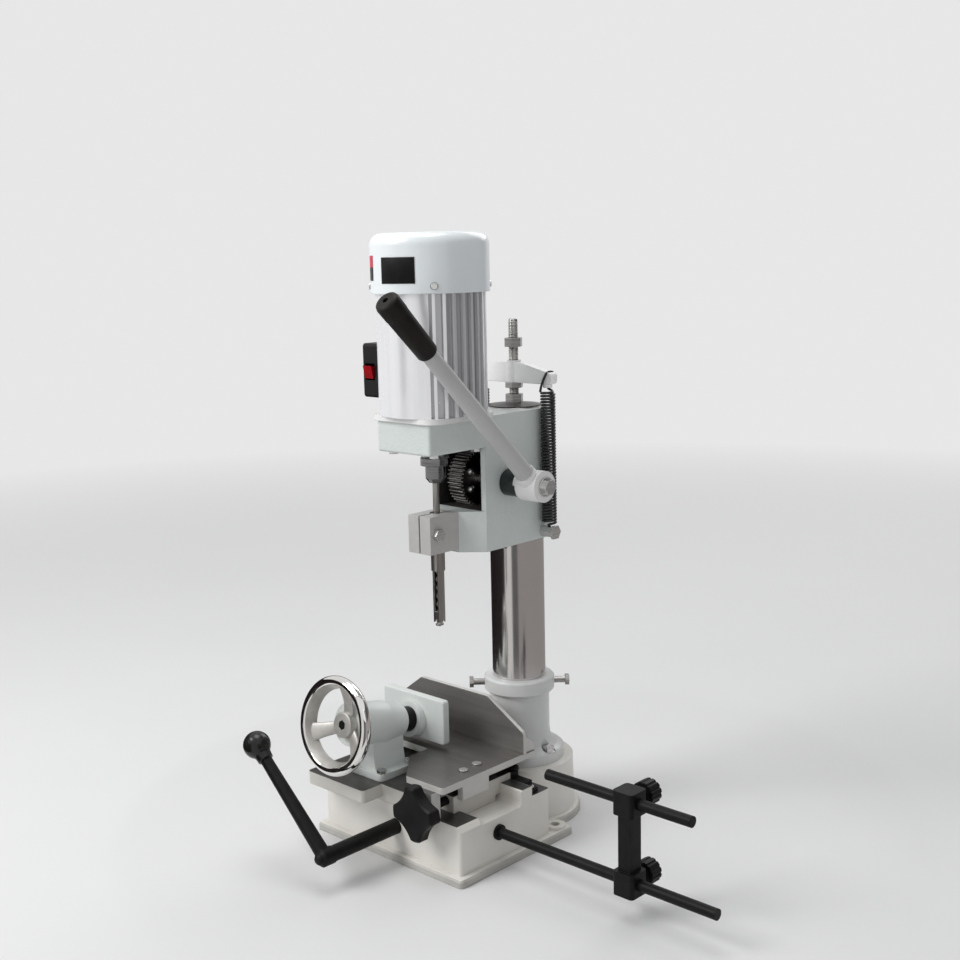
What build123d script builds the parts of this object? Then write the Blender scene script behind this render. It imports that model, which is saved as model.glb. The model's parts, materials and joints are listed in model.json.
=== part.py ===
from build123d import *
import math
import os

os.makedirs("parts", exist_ok=True)

# Bench mortiser in millimetres, +Z up.
# The origin is midway between the two bolt holes of the base, on its underside.
# X points to the operator's right, Y to the back of the machine.

# Column, which most of the machine is measured from
COLUMN_X = 22
COLUMN_Y = 34
COLUMN_R = 32.5
COLUMN_TOP = 506
CAP_T = 4
COLUMN_BORE_R = 14

# Clearances
RUN = 0.05  # radial, shafts and rods in their bores
SLIDE = 0.1  # flat guide faces
FREE = 0.5  # parts that pass each other

# Base casting, measured from the column axis
BASE_MID_X = -COLUMN_X
BASE_HALF = 113.5
BASE_FRONT = -203
BASE_REAR = -52
BASE_WALL = 9
BASE_CORNER = 4
FOOT_CORNER = 5
FOOT_LIP = 8.5
FOOT_T = 9
FRONT_LAND_Z = 65
CHANNEL_Z = 58
CHANNEL_FRONT = -168
CHANNEL_REAR = -101
REAR_RAIL_Z = 77
RAIL_BACK = -83
RAIL_STEP_Z = 65
RAIL_FILLET = 6
LAND_CHAMFER = 6
SEAT_Z = 71
PEDESTAL_R = 65
EAR_HALF_SPACING = 106
EAR_HOLE_R = 5.5
EAR_PAD_R = 13

# Column socket
FLANGE_R = 54
SLEEVE_R = 36.5
COLLAR_R = 43
COLLAR_BOTTOM = 155
COLLAR_TOP = 174
SOCKET_BOLT_RING = 46
SOCKET_BOLT_R = 4
SET_SCREW_Z = 164
SET_SCREW_R = 4

# Head casting
HEAD_HALF = 42
HEAD_BOTTOM = 350
HEAD_TOP = 505
HEAD_FRONT = -97
HEAD_WALL = 8
HEAD_STROKE = 56
ARM_FRONT = -184
ARM_CORNER = 3.5
ARM_BOTTOM = 470
THROAT_BOTTOM = 397
SPINDLE_Y = -135

# Chisel and its holder
HOLDER_HALF = 17.5
HOLDER_BACK = -118
HOLDER_FRONT = -163
HOLDER_BOTTOM = 354
CLAMP_Y = -152
CLAMP_Z = 376
SHANK_R = 8
CHISEL_HALF = 4.75
CHISEL_TOP = 396
CHISEL_SHOULDER = 330
CHISEL_TIP = 269
BIT_R = 3.9

# Feed rack and pinion
MODULE = 1.5
PINION_TEETH = 44
PINION_R = MODULE * PINION_TEETH / 2
PINION_LEFT = -22
PINION_RIGHT = 0
RACK_HALF = 11
FEED_Y = -60
FEED_Z = 426
FEED_SHAFT_R = 9
BUSH_R = 13
RACK_PITCH_Y = FEED_Y + PINION_R
RACK_LOW = 338
RACK_HIGH = 462
RACK_BACK = RACK_PITCH_Y + 7.5

# Feed lever
DOG_START = HEAD_HALF + 1
DOG_END = 63
DOG_R = 15.5
HUB_START = 68
HUB_END = 98
HUB_R = 18
LEVER_X = 82
LEVER_ANGLE = 135.2  # from +Y, seen from the right
LEVER_LENGTH = 308
GRIP_LENGTH = 82
ARM_START = 16
ARM_R = 10.4
ARM_END_R = 9
SOCKET_R = 12.4
SOCKET_END = 23

# Return springs
SPRING_X = 52.5
SPRING_R = 7.4
WIRE_R = 1.35
SPRING_LOW = 377
SPRING_TURNS = 22
ANCHOR_Z = 359
ANCHOR_TOP = 365
ANCHOR_DEPTH = 8
ANCHOR_HEAD = 15.5  # across the flats
CROSSBAR_RISE = 37  # its middle above the column's top
CROSSBAR_Z = COLUMN_TOP + CROSSBAR_RISE
CROSSBAR_HALF = 62
CROSSBAR_LOW = CROSSBAR_Z - 9
CROSSBAR_MID_TOP = CROSSBAR_Z + 15
CROSSBAR_END_TOP = CROSSBAR_Z + 4
SPRING_SEAT = CROSSBAR_Z - 13
SPRING_HIGH = SPRING_SEAT - 7
STUD_TOP = CROSSBAR_Z + 66

# Motor
FLANGE_HALF = 53
FLANGE_BOLT = 32.5
FLANGE_BOLT_R = 3
FLANGE_BOLT_DEPTH = 15
MOTOR_FLANGE_T = 6
FLANGE_CORNER = 20
MOTOR_FLANGE_TOP = HEAD_TOP + MOTOR_FLANGE_T
BARREL_R = 61
FIN_ROOT_R = 55.5
FIN_T = 3.6
FIN_COUNT = 25
PANEL_HALF = 43
STATOR_R = 36
BARREL_LENGTH = 134
BARREL_TOP = MOTOR_FLANGE_TOP + BARREL_LENGTH
CAP_R = 66
CAP_HEIGHT = 65
CAP_TOP = BARREL_TOP + CAP_HEIGHT
CAP_EDGE = 14
CAP_WALL = 6
REGISTER_R = 46
REGISTER_T = 14
CAP_SCREW_R = 2.5
CAP_SCREW_Z = BARREL_TOP + 8
CAP_SCREW_HEAD = 3.6
VENT_COUNT = 10
FAN_Z = BARREL_TOP + 7
FAN_T = 16
FAN_R = 39
CAP_SCREW_ANGLES = (-41, 49, 139, 229)
CHUCK_GAP = 8  # under the arm
CHUCK_TOP = ARM_BOTTOM - CHUCK_GAP
CHUCK_BOTTOM = 432
BIT_IN_CHUCK = 13
SHAFT_IN_CHUCK = 14

# Switch
SWITCH_LEFT = -93
SWITCH_SEAT = -BARREL_R - 0.2
SWITCH_HALF = 20
SWITCH_LOW = 525
SWITCH_HIGH = 587
SWITCH_FACE = SPINDLE_Y - SWITCH_HALF
ROCKER_X = -82
ROCKER_Z = 554.5
ROCKER_HALF_X = 7
ROCKER_HALF_Z = 7.5

# Cross slide and table
SADDLE_LEFT = -130
SADDLE_RIGHT = 57.7
SADDLE_FRONT = -205
SADDLE_TOP = 85
WING_FRONT = -234
WING_RIGHT = -32
BAY_LEFT = 15
BAY_BACK = -178
BRACKET_FOOT = 8
BRACKET_TOP = SADDLE_TOP + BRACKET_FOOT
TABLE_BOTTOM = 97
TABLE_TOP = 105
TABLE_RIGHT = 66
TABLE_LEFT = -150
FENCE_FACE = -68
FENCE_T = 5
FENCE_BACK = FENCE_FACE + FENCE_T
FENCE_TOP = 164
GUIDE_FRONT = RAIL_BACK + 3 * SLIDE
GUIDE_T = 14
GUIDE_RIGHT = 88
TABLE_PIN_SPOTS = ((47, -150), (45, -126))
TABLE_PIN_R = 3
PIN_HEAD_R = 5.5
PIN_SEAT = TABLE_TOP - 0.8
TABLE_BACK = -46
FENCE_SEAT = TABLE_TOP - 1
CRANK_X = -12
CRANK_Z = 39
CRANK_TEETH = 28
CRANK_R = MODULE * CRANK_TEETH / 2
CRANK_SHAFT_R = 9
CRANK_PLANE = -309
CRANK_ANGLE = 138.2
CRANK_LENGTH = 151.6
CRANK_HUB_R = 10
CRANK_TIP_R = 6.8
CRANK_PIN_R = 6.2
BALL_R = 15.8
BALL_NECK = 21
RACK_MID_Y = -139
RACK_HALF_Y = 6.5
CROSS_RACK_LEFT = -62
CROSS_RACK_RIGHT = 44
CROSS_PITCH_Z = CRANK_Z + CRANK_R
CROSS_RACK_TOP = CROSS_PITCH_Z + 6.5
STAR_X = 46
STAR_Z = 78
STAR_BACK = -219
STAR_T = 14
STAR_R = 31.5
STAR_LOBES = 4
STAR_VALLEY = 23
STAR_SCALLOP = 36
STAR_TURN = 7
SCREW_LUG_FRONT = -211
TABLE_SCREW_R = 5
TABLE_SCREW_END = -132

# Vise, along an axis that slopes down towards the fence
VISE_X = -66
VISE_Y = -122.5
VISE_Z = 133.5
VISE_TILT = 11.5
RAM_R = 15
BOSS_R = 25
BOSS_BACK_R = 20
BOSS_START = 24
BOSS_TAPER = 28
BOSS_END = 101
JAW_BOSS_R = 21.5
BRACKET_HALF = 31
BRACKET_FRONT = -203
BRACKET_BACK = -145
BRACKET_BOLT_X = 25
BRACKET_BOLT_Y = (-196, -152)
VISE_SCREW_R = 7
VISE_NECK_R = 8
WHEEL_R = 57
RIM_W = 12
RIM_T = 14
RIM_CORNER = 5
WHEEL_HUB_R = 15
HUB_REACH = 103
HUB_T = 13
WHEEL_REACH = 122
HEX_ACROSS = 10
HUB_BORE = 9
JAW_HALF = 51.5
JAW_BOTTOM = 110
JAW_TOP = 164

# Work stop
STOP_Y = -141
STOP_LOW_Z = 41
STOP_HIGH_Z = 129
STOP_ROD_R = 6
STOP_X = 276
STOP_BLOCK = 13
STOP_CLAMP_R = 4


def level(z, x=0, y=0):
    """A level plane at height z, centred on the column or x, y from it."""
    return Plane((COLUMN_X + x, COLUMN_Y + y, z))


def side(x, y=0, z=0):
    """A plane facing right, with axes along Y and Z."""
    return Plane((COLUMN_X + x, COLUMN_Y + y, z), x_dir=(0, 1, 0), z_dir=(1, 0, 0))


def front(y, x=0, z=0):
    """A plane facing the operator, with axes along X and Z."""
    return Plane((COLUMN_X + x, COLUMN_Y + y, z), x_dir=(1, 0, 0), z_dir=(0, -1, 0))


def spoke(angle, reach, z, y=0):
    """A plane that faces outwards at an angle from +X, from an upright axis y behind the column."""
    turn = math.radians(angle)
    outward = (math.cos(turn), math.sin(turn), 0)
    origin = (COLUMN_X + reach * outward[0], COLUMN_Y + y + reach * outward[1], z)
    return Plane(origin, x_dir=(-outward[1], outward[0], 0), z_dir=outward)


def on_lever(reach):
    """A plane square to the lever arm, at a distance from the feed shaft's axis."""
    turn = math.radians(LEVER_ANGLE)
    along = (0, math.cos(turn), math.sin(turn))
    y = COLUMN_Y + FEED_Y + reach * along[1]
    z = FEED_Z + reach * along[2]
    return Plane((COLUMN_X + LEVER_X, y, z), x_dir=(1, 0, 0), z_dir=along)


def on_vise(reach):
    """A plane square to the vise axis, facing the operator, reach from the ram's nose."""
    tilt = math.radians(VISE_TILT)
    along = (0, -math.cos(tilt), math.sin(tilt))
    y = COLUMN_Y + VISE_Y + reach * along[1]
    z = VISE_Z + reach * along[2]
    return Plane((COLUMN_X + VISE_X, y, z), x_dir=(1, 0, 0), z_dir=along)


def round_bar(plane, radius, length, mode=Mode.ADD):
    """A cylinder along the plane's normal."""
    with BuildSketch(plane) as outline:
        Circle(radius)
    extrude(outline.sketch, amount=length, mode=mode)


def cone_bar(plane, start_radius, end_radius, length):
    """A bar that tapers along the plane's normal."""
    with BuildSketch(plane) as near_end:
        Circle(start_radius)
    with BuildSketch(plane.offset(length)) as far_end:
        Circle(end_radius)
    loft([near_end.sketch.face(), far_end.sketch.face()])


def hex_bar(plane, across_flats, length, mode=Mode.ADD):
    """A hexagon bar along the plane's normal."""
    with BuildSketch(plane) as outline:
        RegularPolygon(across_flats / 2, 6, major_radius=False)
    extrude(outline.sketch, amount=length, mode=mode)


def slab(plane, low, high, length, mode=Mode.ADD, corner=0):
    """A box from one corner of a rectangle on the plane to the other."""
    width = high[0] - low[0]
    height = high[1] - low[1]
    with BuildSketch(plane) as outline:
        with Locations(((low[0] + high[0]) / 2, (low[1] + high[1]) / 2)):
            if corner:
                RectangleRounded(width, height, corner)
            else:
                Rectangle(width, height)
    extrude(outline.sketch, amount=length, mode=mode)


def outline_slab(plane, points, length, mode=Mode.ADD):
    """A straight-sided outline on the plane, extruded along its normal."""
    with BuildSketch(plane) as outline:
        with BuildLine():
            Polyline(*points, close=True)
        make_face()
    extrude(outline.sketch, amount=length, mode=mode)


def rounded_slab(plane, points, radius, length):
    """An outline with rounded corners on the plane, extruded along its normal."""
    with BuildSketch(plane) as outline:
        with BuildLine():
            FilletPolyline(*points, radius=radius, close=True)
        make_face()
    extrude(outline.sketch, amount=length)


def turned(plane, points, mode=Mode.ADD):
    """A turned shape: points are radius and height along the plane's normal."""
    section = Plane(plane.origin, x_dir=plane.x_dir, z_dir=-plane.y_dir)
    with BuildSketch(section) as outline:
        with BuildLine():
            Polyline(*points, close=True)
        make_face()
    revolve(outline.sketch, axis=Axis(plane.origin, plane.z_dir), mode=mode)


def save(piece, name):
    """Names a finished piece and writes it out."""
    piece.part.label = name
    export_step(piece.part, f"parts/{name}.step")


def rack_profile(length, body, flip=1):
    """Points of a straight rack, teeth towards +Y of the sketch, from 0 along X."""
    pitch = math.pi * MODULE
    count = int(length / pitch)
    start = (length - count * pitch) / 2
    slope = math.tan(math.radians(20))
    tip = MODULE
    root = -1.25 * MODULE
    points = [(0, -body * flip), (0, root * flip)]
    for k in range(count):
        middle = start + (k + 0.5) * pitch
        half = pitch / 4 - 0.06
        points.append((middle - half - slope * 1.25 * MODULE, root * flip))
        points.append((middle - half + slope * tip, tip * flip))
        points.append((middle + half - slope * tip, tip * flip))
        points.append((middle + half + slope * 1.25 * MODULE, root * flip))
    points.append((length, root * flip))
    points.append((length, -body * flip))
    return points


def space_offset(distance, length):
    """How far a place on a rack lies beyond the middle of the last tooth space."""
    pitch = math.pi * MODULE
    start = (length - int(length / pitch) * pitch) / 2
    return (distance - start) % pitch


def gear_profile(teeth, turn):
    """Points of a spur gear whose straight flanks follow the involute closely."""
    pitch_r = MODULE * teeth / 2
    tip_r = pitch_r + MODULE
    root_r = pitch_r - 1.25 * MODULE
    base_r = pitch_r * math.cos(math.radians(20))
    half_pitch = math.pi / (2 * teeth) - 0.06 / pitch_r

    def half_angle(radius):
        pressure = math.acos(min(1, base_r / radius))
        spread = math.tan(pressure) - pressure
        pitch_spread = math.tan(math.radians(20)) - math.radians(20)
        return half_pitch + pitch_spread - spread

    points = []
    for k in range(teeth):
        middle = turn + 2 * math.pi * k / teeth
        foot_r = max(root_r, base_r)
        for radius, shift in (
            (root_r, -half_angle(foot_r)),
            (pitch_r, -half_angle(pitch_r)),
            (tip_r, -half_angle(tip_r)),
            (tip_r, half_angle(tip_r)),
            (pitch_r, half_angle(pitch_r)),
            (root_r, half_angle(foot_r)),
        ):
            angle = middle + shift
            points.append((radius * math.cos(angle), radius * math.sin(angle)))
    return points


# Base casting: foot plate, hollow box with a cross channel, round rear pedestal
with BuildPart() as base_casting:
    foot_low = (BASE_MID_X - BASE_HALF - FOOT_LIP, BASE_FRONT - FOOT_LIP)
    foot_high = (BASE_MID_X + BASE_HALF + FOOT_LIP, -COLUMN_Y + 15)
    slab(level(0), foot_low, foot_high, FOOT_T, corner=FOOT_CORNER)
    round_bar(level(0), PEDESTAL_R + FOOT_LIP, FOOT_T)
    chamfer(base_casting.edges().group_by(Axis.Z)[-1], 2.5)
    for ear in (-EAR_HALF_SPACING, EAR_HALF_SPACING):
        round_bar(level(0, BASE_MID_X + ear, -COLUMN_Y), EAR_PAD_R, FOOT_T + 3)
    box_low = (BASE_MID_X - BASE_HALF, BASE_FRONT)
    box_high = (BASE_MID_X + BASE_HALF, BASE_REAR)
    slab(level(0), box_low, box_high, REAR_RAIL_Z, corner=BASE_CORNER)
    # Front land, cross channel and the seat of the column socket
    all_left = BASE_MID_X - BASE_HALF - 1
    all_wide = 2 * BASE_HALF + 2
    slab(
        side(all_left),
        (BASE_FRONT - 1, FRONT_LAND_Z),
        (CHANNEL_FRONT, REAR_RAIL_Z + 1),
        all_wide,
        Mode.SUBTRACT,
    )
    slab(
        side(all_left),
        (CHANNEL_FRONT, CHANNEL_Z),
        (CHANNEL_REAR, REAR_RAIL_Z + 1),
        all_wide,
        Mode.SUBTRACT,
    )
    # Step behind the rail, where the saddle's guide bar runs
    slab(
        side(all_left),
        (RAIL_BACK, RAIL_STEP_Z),
        (BASE_REAR + 1, REAR_RAIL_Z + 1),
        all_wide,
        Mode.SUBTRACT,
    )
    cone_bar(level(0), PEDESTAL_R + 2, PEDESTAL_R, SEAT_Z)
    round_bar(level(SEAT_Z), FLANGE_R + 1.5, 10, Mode.SUBTRACT)
    # Soft edges of the casting, along the land and the rail
    soft_edges = [
        base_casting.edges().filter_by(Axis.X).sort_by_distance(spot)[0]
        for spot in (
            (0, COLUMN_Y + BASE_FRONT, FRONT_LAND_Z),
            (0, COLUMN_Y + CHANNEL_REAR, REAR_RAIL_Z),
        )
    ]
    fillet(soft_edges, 2)
    rail_foot = (0, COLUMN_Y + CHANNEL_REAR, CHANNEL_Z)
    fillet(base_casting.edges().filter_by(Axis.X).sort_by_distance(rail_foot)[0], RAIL_FILLET)
    # Sloped right end of the front land
    outline_slab(
        front(CHANNEL_FRONT, BASE_MID_X + BASE_HALF, FRONT_LAND_Z),
        [(-LAND_CHAMFER - 1, 1), (1, 1), (1, -LAND_CHAMFER - 1)],
        CHANNEL_FRONT - BASE_FRONT + 1,
        Mode.SUBTRACT,
    )
    # Hollow underside
    hollow_low = (box_low[0] + BASE_WALL, BASE_FRONT + BASE_WALL)
    hollow_high = (box_high[0] - BASE_WALL, BASE_REAR - BASE_WALL)
    slab(level(0), hollow_low, hollow_high, CHANNEL_Z - BASE_WALL, Mode.SUBTRACT, 5)
    round_bar(level(0), PEDESTAL_R - BASE_WALL, SEAT_Z - 15, Mode.SUBTRACT)
    # Bearings of the crank shaft, front boss and rear web
    round_bar(front(BASE_FRONT + BASE_WALL + 14, CRANK_X, CRANK_Z), 15, 14)
    slab(
        front(-118),
        (CRANK_X - 15, CRANK_Z - 15),
        (CRANK_X + 15, CHANNEL_Z - BASE_WALL),
        9,
    )
    round_bar(
        front(-110, CRANK_X, CRANK_Z), CRANK_SHAFT_R + RUN, 120, Mode.SUBTRACT
    )
    # Slot for the crank's pinion and the boss of the lower stop rod
    round_bar(side(66, STOP_Y, STOP_LOW_Z), 12, BASE_MID_X + BASE_HALF - 66)
    slab(
        level(CHANNEL_Z - BASE_WALL - 1),
        (CRANK_X - CRANK_R - 2, RACK_MID_Y - RACK_HALF_Y - FREE),
        (CRANK_X + CRANK_R + 2, RACK_MID_Y + RACK_HALF_Y + FREE),
        BASE_WALL + 2,
        Mode.SUBTRACT,
    )
    round_bar(side(60, STOP_Y, STOP_LOW_Z), STOP_ROD_R, 60, Mode.SUBTRACT)
    # Bolt holes
    for ear in (-EAR_HALF_SPACING, EAR_HALF_SPACING):
        round_bar(
            level(-1, BASE_MID_X + ear, -COLUMN_Y), EAR_HOLE_R, 20, Mode.SUBTRACT
        )
    for k in range(4):
        turn = math.radians(90 * k)
        bolt_x = SOCKET_BOLT_RING * math.cos(turn)
        bolt_y = SOCKET_BOLT_RING * math.sin(turn)
        round_bar(
            level(SEAT_Z - 16, bolt_x, bolt_y), SOCKET_BOLT_R, 20, Mode.SUBTRACT
        )
save(base_casting, "base_casting")

# Column socket: flange with a flared sleeve and a thick clamping collar
with BuildPart() as column_socket:
    turned(
        level(0),
        [
            (COLUMN_R, SEAT_Z),
            (FLANGE_R, SEAT_Z),
            (FLANGE_R, SEAT_Z + 11),
            (FLANGE_R - 2, SEAT_Z + 13),
            (SLEEVE_R + 9, SEAT_Z + 15.5),
            (SLEEVE_R + 4, SEAT_Z + 20),
            (SLEEVE_R + 1, SEAT_Z + 27),
            (SLEEVE_R, SEAT_Z + 36),
            (SLEEVE_R, COLLAR_BOTTOM),
            (COLLAR_R - 2, COLLAR_BOTTOM),
            (COLLAR_R, COLLAR_BOTTOM + 2),
            (COLLAR_R, COLLAR_TOP - 2.5),
            (COLLAR_R - 2.5, COLLAR_TOP),
            (COLUMN_R, COLLAR_TOP),
        ],
    )
    for k in range(4):
        turn = math.radians(90 * k)
        bolt_x = SOCKET_BOLT_RING * math.cos(turn)
        bolt_y = SOCKET_BOLT_RING * math.sin(turn)
        round_bar(level(SEAT_Z + 12, bolt_x, bolt_y), 8.5, 20, Mode.SUBTRACT)
        round_bar(
            level(SEAT_Z - 1, bolt_x, bolt_y), SOCKET_BOLT_R, 20, Mode.SUBTRACT
        )
    for angle in (45, 225):
        round_bar(spoke(angle, 30, SET_SCREW_Z), SET_SCREW_R, 20, Mode.SUBTRACT)
save(column_socket, "column_socket")

with BuildPart() as socket_bolts:
    for k in range(4):
        turn = math.radians(90 * k)
        bolt_x = SOCKET_BOLT_RING * math.cos(turn)
        bolt_y = SOCKET_BOLT_RING * math.sin(turn)
        round_bar(level(SEAT_Z - 13, bolt_x, bolt_y), SOCKET_BOLT_R, 26)
        round_bar(level(SEAT_Z + 12, bolt_x, bolt_y), 7.9, 1.5)
        hex_bar(level(SEAT_Z + 13.5, bolt_x, bolt_y), 13, 5.5)
save(socket_bolts, "socket_bolts")

with BuildPart() as column_set_screws:
    for angle in (45, 225):
        round_bar(spoke(angle, COLUMN_R, SET_SCREW_Z), SET_SCREW_R, 25)
        hex_bar(spoke(angle, COLUMN_R + 24, SET_SCREW_Z), 12, 5)
save(column_set_screws, "column_set_screws")

# Column, with the feed rack let into a slot in its front
with BuildPart() as column:
    round_bar(level(SEAT_Z), COLUMN_R, COLUMN_TOP - SEAT_Z)
    round_bar(level(SEAT_Z), COLUMN_BORE_R, COLUMN_TOP - SEAT_Z, Mode.SUBTRACT)
    slab(
        level(RACK_LOW),
        (-RACK_HALF, -COLUMN_R - 1),
        (RACK_HALF, RACK_BACK),
        RACK_HIGH - RACK_LOW,
        Mode.SUBTRACT,
    )
    # Relief beside the rack for the end of the wide pinion
    slab(
        level(RACK_LOW),
        (PINION_LEFT - 2, -COLUMN_R - 1),
        (-RACK_HALF, RACK_PITCH_Y + MODULE + FREE),
        RACK_HIGH - RACK_LOW,
        Mode.SUBTRACT,
    )
save(column, "column")

with BuildPart() as column_rack:
    rack_plane = Plane(
        (COLUMN_X - RACK_HALF, COLUMN_Y + RACK_PITCH_Y, RACK_LOW),
        x_dir=(0, 0, 1),
        z_dir=(1, 0, 0),
    )
    outline_slab(
        rack_plane,
        rack_profile(RACK_HIGH - RACK_LOW, RACK_BACK - RACK_PITCH_Y),
        2 * RACK_HALF,
    )
save(column_rack, "column_rack")

with BuildPart() as column_cap:
    turned(
        level(COLUMN_TOP),
        [(0, 0), (COLUMN_R - 0.5, 0), (COLUMN_R - 0.5, CAP_T - 2.5), (12, CAP_T), (0, CAP_T)],
    )
    round_bar(level(COLUMN_TOP - 14), COLUMN_BORE_R, 14)
    round_bar(level(COLUMN_TOP - 20), 6, 30, Mode.SUBTRACT)
save(column_cap, "column_cap")

with BuildPart() as spring_stud:
    turned(
        level(0),
        [
            (0, COLUMN_TOP - 12),
            (6, COLUMN_TOP - 12),
            (6, STUD_TOP - 2),
            (4.6, STUD_TOP),
            (0, STUD_TOP),
        ],
    )
save(spring_stud, "spring_stud")

# Nuts on the stud: one on the cap, one under the crossbar, one locknut above
with BuildPart() as stud_nuts:
    nut_spots = ((COLUMN_TOP + CAP_T, 10), (CROSSBAR_LOW - 6.5, 6.5), (CROSSBAR_Z + 33, 10.5))
    for bottom, thick in nut_spots:
        hex_bar(level(bottom), 19, thick)
        round_bar(level(bottom - 1), 6, thick + 2, Mode.SUBTRACT)
save(stud_nuts, "stud_nuts")

# Crossbar that holds the upper ends of the springs: a sleeve on the stud and two drooping arms
with BuildPart() as spring_crossbar:
    rounded_slab(
        front(6),
        [
            (-CROSSBAR_HALF, CROSSBAR_LOW),
            (-CROSSBAR_HALF, CROSSBAR_END_TOP),
            (-14, CROSSBAR_MID_TOP),
            (14, CROSSBAR_MID_TOP),
            (CROSSBAR_HALF, CROSSBAR_END_TOP),
            (CROSSBAR_HALF, CROSSBAR_LOW),
        ],
        5,
        12,
    )
    round_bar(level(CROSSBAR_LOW), 8.5, CROSSBAR_MID_TOP + 2 - CROSSBAR_LOW)
    for x in (-SPRING_X, SPRING_X):
        round_bar(level(SPRING_SEAT, x, 0), 5.5, CROSSBAR_Z - SPRING_SEAT)
    round_bar(level(CROSSBAR_Z - 20), 6, 40, Mode.SUBTRACT)
save(spring_crossbar, "spring_crossbar")


def biarc(start, start_way, end, end_way):
    """Two arcs that leave one point along a direction and reach another along its own."""
    gap = end - start
    both = start_way + end_way
    a = 2 * (start_way.dot(end_way) - 1)
    b = -2 * gap.dot(both)
    c = gap.dot(gap)
    reach = (-b - math.sqrt(b * b - 4 * a * c)) / (2 * a)
    near = start + start_way * reach
    far = end - end_way * reach
    middle = (near + far) * 0.5
    TangentArc(start, middle, tangent=start_way)
    TangentArc(middle, end, tangent=far - near)


def coil_point(centre_x, share):
    """A point of the coil and its direction, share running from 0 to 1."""
    turn = 2 * math.pi * SPRING_TURNS * share
    rise = (SPRING_HIGH - SPRING_LOW) * share
    point = Vector(
        COLUMN_X + centre_x + SPRING_R * math.cos(turn),
        COLUMN_Y + SPRING_R * math.sin(turn),
        SPRING_LOW + rise,
    )
    climb = (SPRING_HIGH - SPRING_LOW) / (2 * math.pi * SPRING_TURNS)
    way = Vector(-SPRING_R * math.sin(turn), SPRING_R * math.cos(turn), climb)
    return point, way.normalized()


# Return springs: one wire each, straight ends square to the anchor and the crossbar
up = Vector(0, 0, 1)
for name, centre_x in (("return_spring_right", SPRING_X), ("return_spring_left", -SPRING_X)):
    with BuildPart() as return_spring:
        foot = Vector(COLUMN_X + centre_x, COLUMN_Y, ANCHOR_TOP)
        head = Vector(COLUMN_X + centre_x, COLUMN_Y, SPRING_SEAT)
        with BuildLine() as wire:
            foot_end = foot + up * (2 * WIRE_R)
            Line(foot, foot_end)
            here, way = coil_point(centre_x, 0)
            biarc(foot_end, up, here, way)
            steps = 2 * SPRING_TURNS
            for k in range(steps):
                after, after_way = coil_point(centre_x, (k + 1) / steps)
                biarc(here, way, after, after_way)
                here, way = after, after_way
            head_end = head - up * (2 * WIRE_R)
            biarc(here, way, head_end, up)
            Line(head_end, head)
        with BuildSketch(Plane(foot, z_dir=up)) as wire_section:
            RegularPolygon(WIRE_R, 6)
        sweep(wire_section.sketch, path=wire.line)
    save(return_spring, name)

coil_gap = (SPRING_HIGH - SPRING_LOW) / SPRING_TURNS - 2 * WIRE_R
end_gap = SPRING_R - 2 * WIRE_R
print(f"spring: least gap between turns {coil_gap:.2f}, to its own ends {end_gap:.2f}")

# Bolts in the sides of the head that the springs pull on, with a flat under the wire
with BuildPart() as spring_anchor_bolts:
    for way in (-1, 1):
        start = HEAD_HALF - ANCHOR_DEPTH
        plane = Plane(
            (COLUMN_X + way * start, COLUMN_Y, ANCHOR_Z),
            x_dir=(0, 1, 0),
            z_dir=(way, 0, 0),
        )
        round_bar(plane, 5, ANCHOR_DEPTH + 3)
        flats = 2 * (ANCHOR_TOP - ANCHOR_Z) - 0.2
        hex_bar(plane.offset(ANCHOR_DEPTH), flats, 17)
        hex_bar(plane.offset(ANCHOR_DEPTH + 17), ANCHOR_HEAD, 3.5)
save(spring_anchor_bolts, "spring_anchor_bolts")

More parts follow.
